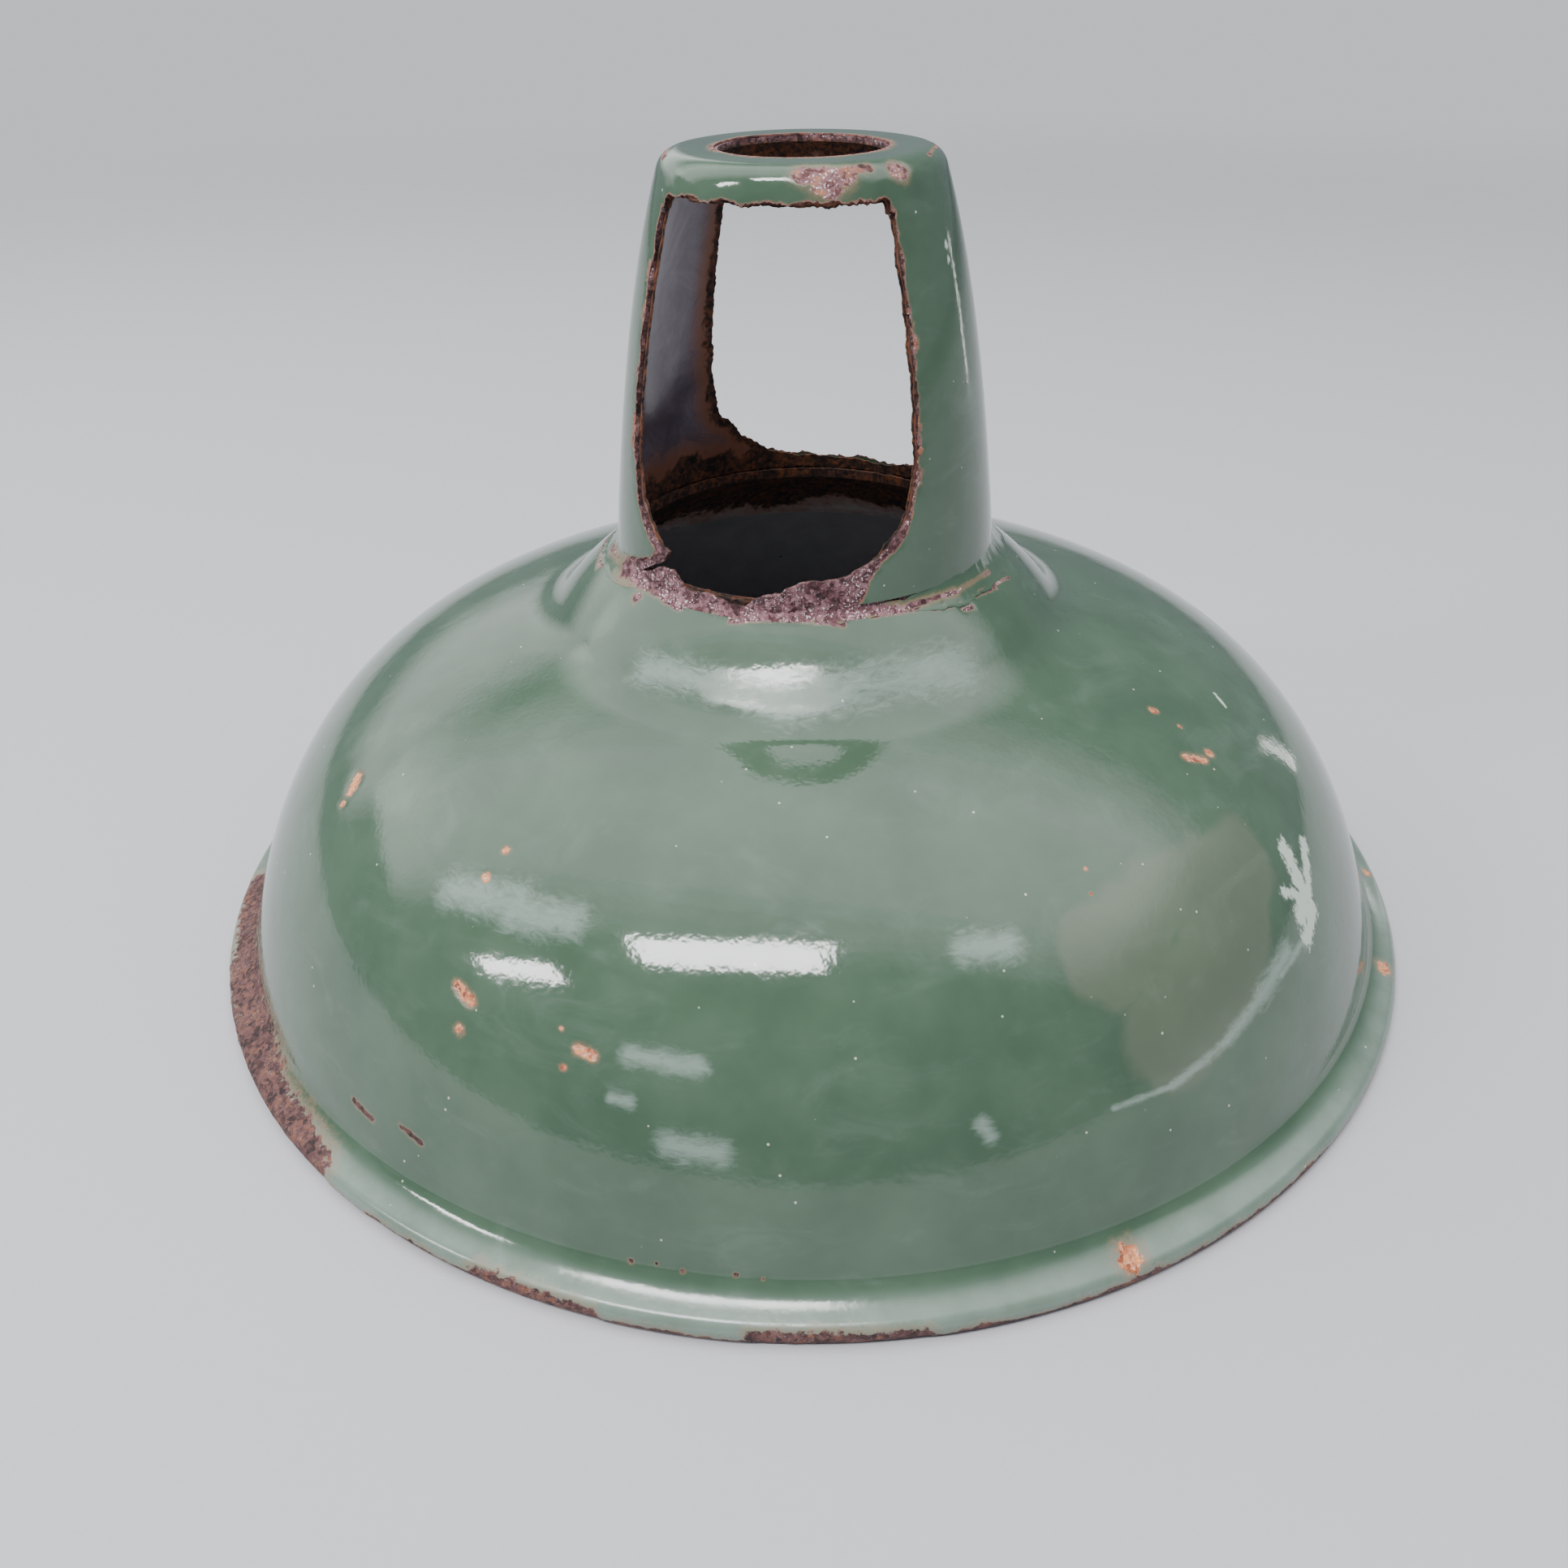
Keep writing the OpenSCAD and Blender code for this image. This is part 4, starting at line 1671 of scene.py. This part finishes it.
@dataclass
class Neck:
    """The slotted neck: its sheet, its green coat, and a white lining on each leg."""

    section: Section = SECTION
    window: Window = Window()
    sheet_relief: Relief = Relief(0.1 * MM, 2.6 * MM, 0.12 * MM, 1.1 * MM, 0.0)
    coat_relief: Relief = Relief(0.06 * MM, 14 * MM, 0.01 * MM, 3.5 * MM, 0.2 * MM)
    lining_relief: Relief = Relief(0.0, MM, 0.0, MM, 0.0)
    sheet_rounding: float = 0.12 * MM
    coat_rounding: float = 0.2 * MM
    coat_back_mm: float = 1.6
    lining_front_mm: float = 1.2
    lining_back_mm: float = 1.4

    def dressed(
        self, layer: NeckLayer, relief: Relief, chips: tuple[Mark, ...],
        material: bpy.types.Material,
    ) -> bpy.types.Object:
        """Presses the relief into a layer, and smooths it."""
        mesh = layer.mesh()
        face_outwards(mesh)
        tree = ReliefTree(layer.name + "_relief", chips)
        piece = tree.run(mesh, layer.name, relief.inputs(material))
        face_outwards(piece.data)
        return piece

    def sheet(self) -> None:
        """The pressed steel with its torn and worn sills."""
        part = self.section
        holes = [self.window.outline(-1, TORN_SILL), self.window.outline(1, WORN_SILL)]
        layer = NeckLayer(
            "neck_steel_sheet", part.coat, part.skin, 0.0, part.seat_z, Edge.SHEET, holes,
            self.sheet_rounding,
        )
        material = RustedSteel("rusted_sheet_neck", PINK).make()
        piece = self.dressed(layer, self.sheet_relief, NECK_CHIPS, material)
        fit_piece(piece, Slot.STEEL, "neck_steel")

    def coat(self) -> None:
        """The green coat, eaten back from the windows and off the front sill."""
        part = self.section
        back_sill = raised(WORN_SILL, self.coat_back_mm)
        holes = [self.window.outline(-1, BARE_SILL), self.window.outline(1, back_sill)]
        end_z = part.seat_z + part.weld_w
        layer = NeckLayer(
            "neck_green_coat", 0.0, part.coat, part.bare_lip, end_z, Edge.COAT, holes,
            self.coat_rounding,
        )
        material = GreenEnamel(
            "green_enamel_neck", NECK_CHIPS, NECK_WORN, paint=NECK_PAINT, edged=True,
            chip_tone=PURPLE, scale_tone=RUSSET,
        ).make()
        piece = self.dressed(layer, self.coat_relief, NECK_CHIPS, material)
        fit_piece(piece, Slot.GREEN, "neck_outer_enamel")

    def lining(self) -> None:
        """The white lining of the legs and of the ring's underside."""
        part = self.section
        front_sill = raised(BARE_SILL, self.lining_front_mm)
        back_sill = raised(WORN_SILL, self.lining_back_mm)
        holes = [self.window.outline(-1, front_sill), self.window.outline(1, back_sill)]
        layer = NeckLayer(
            "neck_white_lining", part.skin, part.wall, part.bare_lip,
            part.sill_z + part.coat, Edge.LINING, holes,
        )
        # The neck's white lining takes grey-lavender colours: partly grime, partly painted shade of the
        # inside of the neck.
        shaded_grimy = (srgb(130, 119, 130), srgb(90, 80, 90))
        material = WhiteEnamel("white_enamel_neck", True, *shaded_grimy).make()
        piece = self.dressed(layer, self.lining_relief, NECK_CHIPS, material)
        fit_piece(piece, Slot.WHITE, "neck_inner_enamel")

    def build(self) -> None:
        """Builds the neck's pieces."""
        self.sheet()
        self.coat()
        self.lining()


# ---------------------------------------------------------------- foot and wire


@dataclass
class Foot:
    """The weld round the neck's foot: a full enamelled fillet at the legs, and a thin seam elsewhere."""

    section: Section = SECTION
    segments: int = 480
    rise: float = 3.4 * MM
    run: float = 3.4 * MM
    hidden: float = 0.12 * MM
    belly: float = 0.25 * MM
    leg_bearings: tuple[float, float] = (2, 182)
    leg_edge: float = 0.62
    leg_fade: float = 0.26
    seam_share: float = 0.34
    leg_share: float = 0.6
    wave: float = 0.14
    ripple: float = 0.1
    relief: Relief = Relief(0.25 * MM, 3.0 * MM, 0.08 * MM, 0.9 * MM, 0.1 * MM)

    @property
    def corner(self) -> np.ndarray:
        """The corner that the fillet fills."""
        return np.array([self.section.foot_r, self.section.foot_z])

    def ring(self) -> bpy.types.Mesh:
        """The fillet's section, hollow between the neck and the boss."""
        part = self.section
        top_z = part.foot_z + self.rise
        top = NECK.at(NECK.length_at(np.array([top_z])), self.hidden)[0]
        toe = part.on_boss(part.foot_r + self.run) - [0, self.hidden]
        face = bezier([top, self.corner + self.belly, toe], 12)
        back = np.array([top - [part.coat, 0], self.corner - part.steel, toe - [0, part.coat]])
        return ring_mesh("weld_ring", face, back)

    def fullness(self, bearing: float) -> float:
        """Share of the full fillet that there is at a bearing."""
        legs = max(math.cos(math.radians(bearing - leg)) for leg in self.leg_bearings)
        share = min(1.0, max(0.0, (legs - self.leg_edge) / self.leg_fade))
        smooth = share * share * (3 - 2 * share)
        angle = math.radians(bearing)
        place = Vector((math.cos(angle), math.sin(angle), 0.0)) * 9
        uneven = self.wave * noise.noise(place) + self.ripple * noise.noise(place * 4)
        return self.seam_share + self.leg_share * smooth + uneven

    def fill(self, mesh: bpy.types.Mesh) -> None:
        """Draws the fillet in towards its corner where there is less of it."""
        spots = coordinates(mesh)
        for i, (x, y, z) in enumerate(spots):
            radius, bearing = math.hypot(x, y), math.degrees(math.atan2(y, x))
            share = self.fullness(bearing)
            drawn = self.corner + (np.array([radius, z]) - self.corner) * share
            spots[i] = (x * drawn[0] / radius, y * drawn[0] / radius, drawn[1])
        mesh.vertices.foreach_set("co", spots.astype(np.float32).ravel())

    def build(self) -> None:
        """Builds the fillet."""
        material = WeldFinish("weld_and_enamel").make()
        tree = LatheTree("foot_weld_lathe", FOOT_SCALE)
        values = self.relief.inputs(material) | {"Segments": self.segments}
        piece = tree.run(self.ring(), "foot_weld_fillet", values)
        self.fill(piece.data)
        face_outwards(piece.data)
        fit_piece(piece, Slot.WELD, "foot_weld")


def dress_wire() -> None:
    """Gives the wire inside the rim its finish."""
    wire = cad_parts["rim_wire"]
    wire.data.materials.clear()
    wire.data.materials.append(WireFinish().make())
    LOG.info("%s: dressed", wire.name)


# ---------------------------------------------------------------- studio


@dataclass(frozen=True)
class Softbox:
    """A rectangular light."""

    name: str
    place: tuple[float, float, float]
    size: tuple[float, float]
    radiance: float
    turn: float = 0.0
    aim: tuple[float, float, float] | None = None
    soft: float = 0.0
    steps: int = 5

    def panel(self, name: str, grown: float, radiance: float) -> None:
        """Hangs one panel, facing straight down or towards the aim, wider all round by a length."""
        data = bpy.data.lights.new(name, "AREA")
        data.shape = "RECTANGLE"
        data.size, data.size_y = self.size[0] + 2 * grown, self.size[1] + 2 * grown
        data.energy = radiance * math.pi * data.size * data.size_y
        light = bpy.data.objects.new(name, data)
        light.visible_camera = False
        bpy.context.scene.collection.objects.link(light)
        turn = Matrix.Rotation(math.radians(self.turn), 4, "Z")
        if self.aim is not None:
            away = Vector(self.place) - Vector(self.aim)
            turn = away.to_track_quat("Z", "Y").to_matrix().to_4x4()
        step = Matrix.Translation((0, 0, 0.002 * grown))
        light.matrix_world = Matrix.Translation(self.place) @ turn @ step

    def build(self) -> None:
        """Hangs the light as one panel, or as a stack of panels whose edges fade out."""
        if not self.soft:
            self.panel(self.name, 0.0, self.radiance)
            return
        for i in range(self.steps):
            grown = self.soft * (i / (self.steps - 1) - 0.5)
            self.panel(f"{self.name}_{i}", grown, self.radiance / self.steps)


@dataclass(frozen=True)
class Studio:
    """The camera, the lights and the floor."""

    camera_place: tuple[float, float, float] = (0.0612, -0.2453, 0.1836)
    heading: float = 15.158
    pitch: float = 32.636
    roll: float = -1.09
    lens: float = 30.75
    sensor: float = 36.0
    floor_half: float = 12.0
    world: tuple[float, ...] = (0.25, 0.27, 0.32, 1.0)
    backdrop: tuple[float, ...] = (0.72, 0.73, 0.75, 1.0)
    lights: tuple[Softbox, ...] = (
        Softbox("ceiling", (-0.75, 0.22, 1.25), (5.1, 1.3), 2.4, soft=0.45),
        Softbox("strip", (-0.144, -0.66, 1.2), (0.74, 0.24), 34.0, 10.0),
        Softbox("short_strip", (-1.5, -1.2, 1.2), (0.9, 0.22), 34.0, 10.0),
        Softbox("left_wall", (-2.3, 2.0, 1.2), (3.2, 1.1), 1.7, aim=(0, 0, 0.1), soft=0.4),
        Softbox("leg_strip", (0.48, 0.54, 0.085), (0.03, 0.15), 4.0, aim=(0, 0, 0.1)),
    )

    def build_camera(self) -> None:
        """Makes the camera and hands it to the scene."""
        data = bpy.data.cameras.new("camera")
        data.sensor_width = self.sensor
        data.lens = self.lens
        data.clip_start = 0.01
        data.clip_end = 50.0
        camera = bpy.data.objects.new("camera", data)
        bpy.context.scene.collection.objects.link(camera)
        turn = Matrix.Rotation(math.radians(self.heading), 4, "Z")
        tilt = Matrix.Rotation(math.radians(90 - self.pitch), 4, "X")
        rolled = Matrix.Rotation(math.radians(self.roll), 4, "Z")
        camera.matrix_world = Matrix.Translation(self.camera_place) @ turn @ tilt @ rolled
        bpy.context.scene.camera = camera

    def build_floor(self) -> None:
        """Lays the floor that the rim stands on."""
        half = self.floor_half
        corners = [(-half, -half, 0), (half, -half, 0), (half, half, 0), (-half, half, 0)]
        mesh = bpy.data.meshes.new("floor")
        mesh.from_pydata(corners, [], [(0, 1, 2, 3)])
        mesh.materials.append(FloorFinish().make())
        floor = bpy.data.objects.new("floor", mesh)
        bpy.context.scene.collection.objects.link(floor)

    def build_world(self) -> None:
        """Fills the room with a low even light, and shows the camera a pale backdrop."""
        world = bpy.data.worlds.new("room")
        world.use_nodes = True
        tree = Tree(world.node_tree)
        seen = tree.node("ShaderNodeLightPath").outputs["Is Camera Ray"]
        inputs = {0: seen, 6: self.world, 7: self.backdrop}
        mixed = tree.node("ShaderNodeMix", {"data_type": "RGBA"}, inputs)
        background = tree.node("ShaderNodeBackground", None, {"Color": mixed.outputs[2]})
        tree.node("ShaderNodeOutputWorld", None, {"Surface": background.outputs[0]})
        bpy.context.scene.world = world

    def build(self) -> None:
        """Builds the studio."""
        self.build_camera()
        self.build_floor()
        self.build_world()
        for light in self.lights:
            light.build()


def main() -> None:
    """Builds the shade and its studio."""
    logging.basicConfig(level=logging.INFO, format="%(name)s: %(message)s")
    Studio().build()
    Dome().build()
    Neck().build()
    Foot().build()
    dress_wire()


if __name__ == "__main__":
    main()
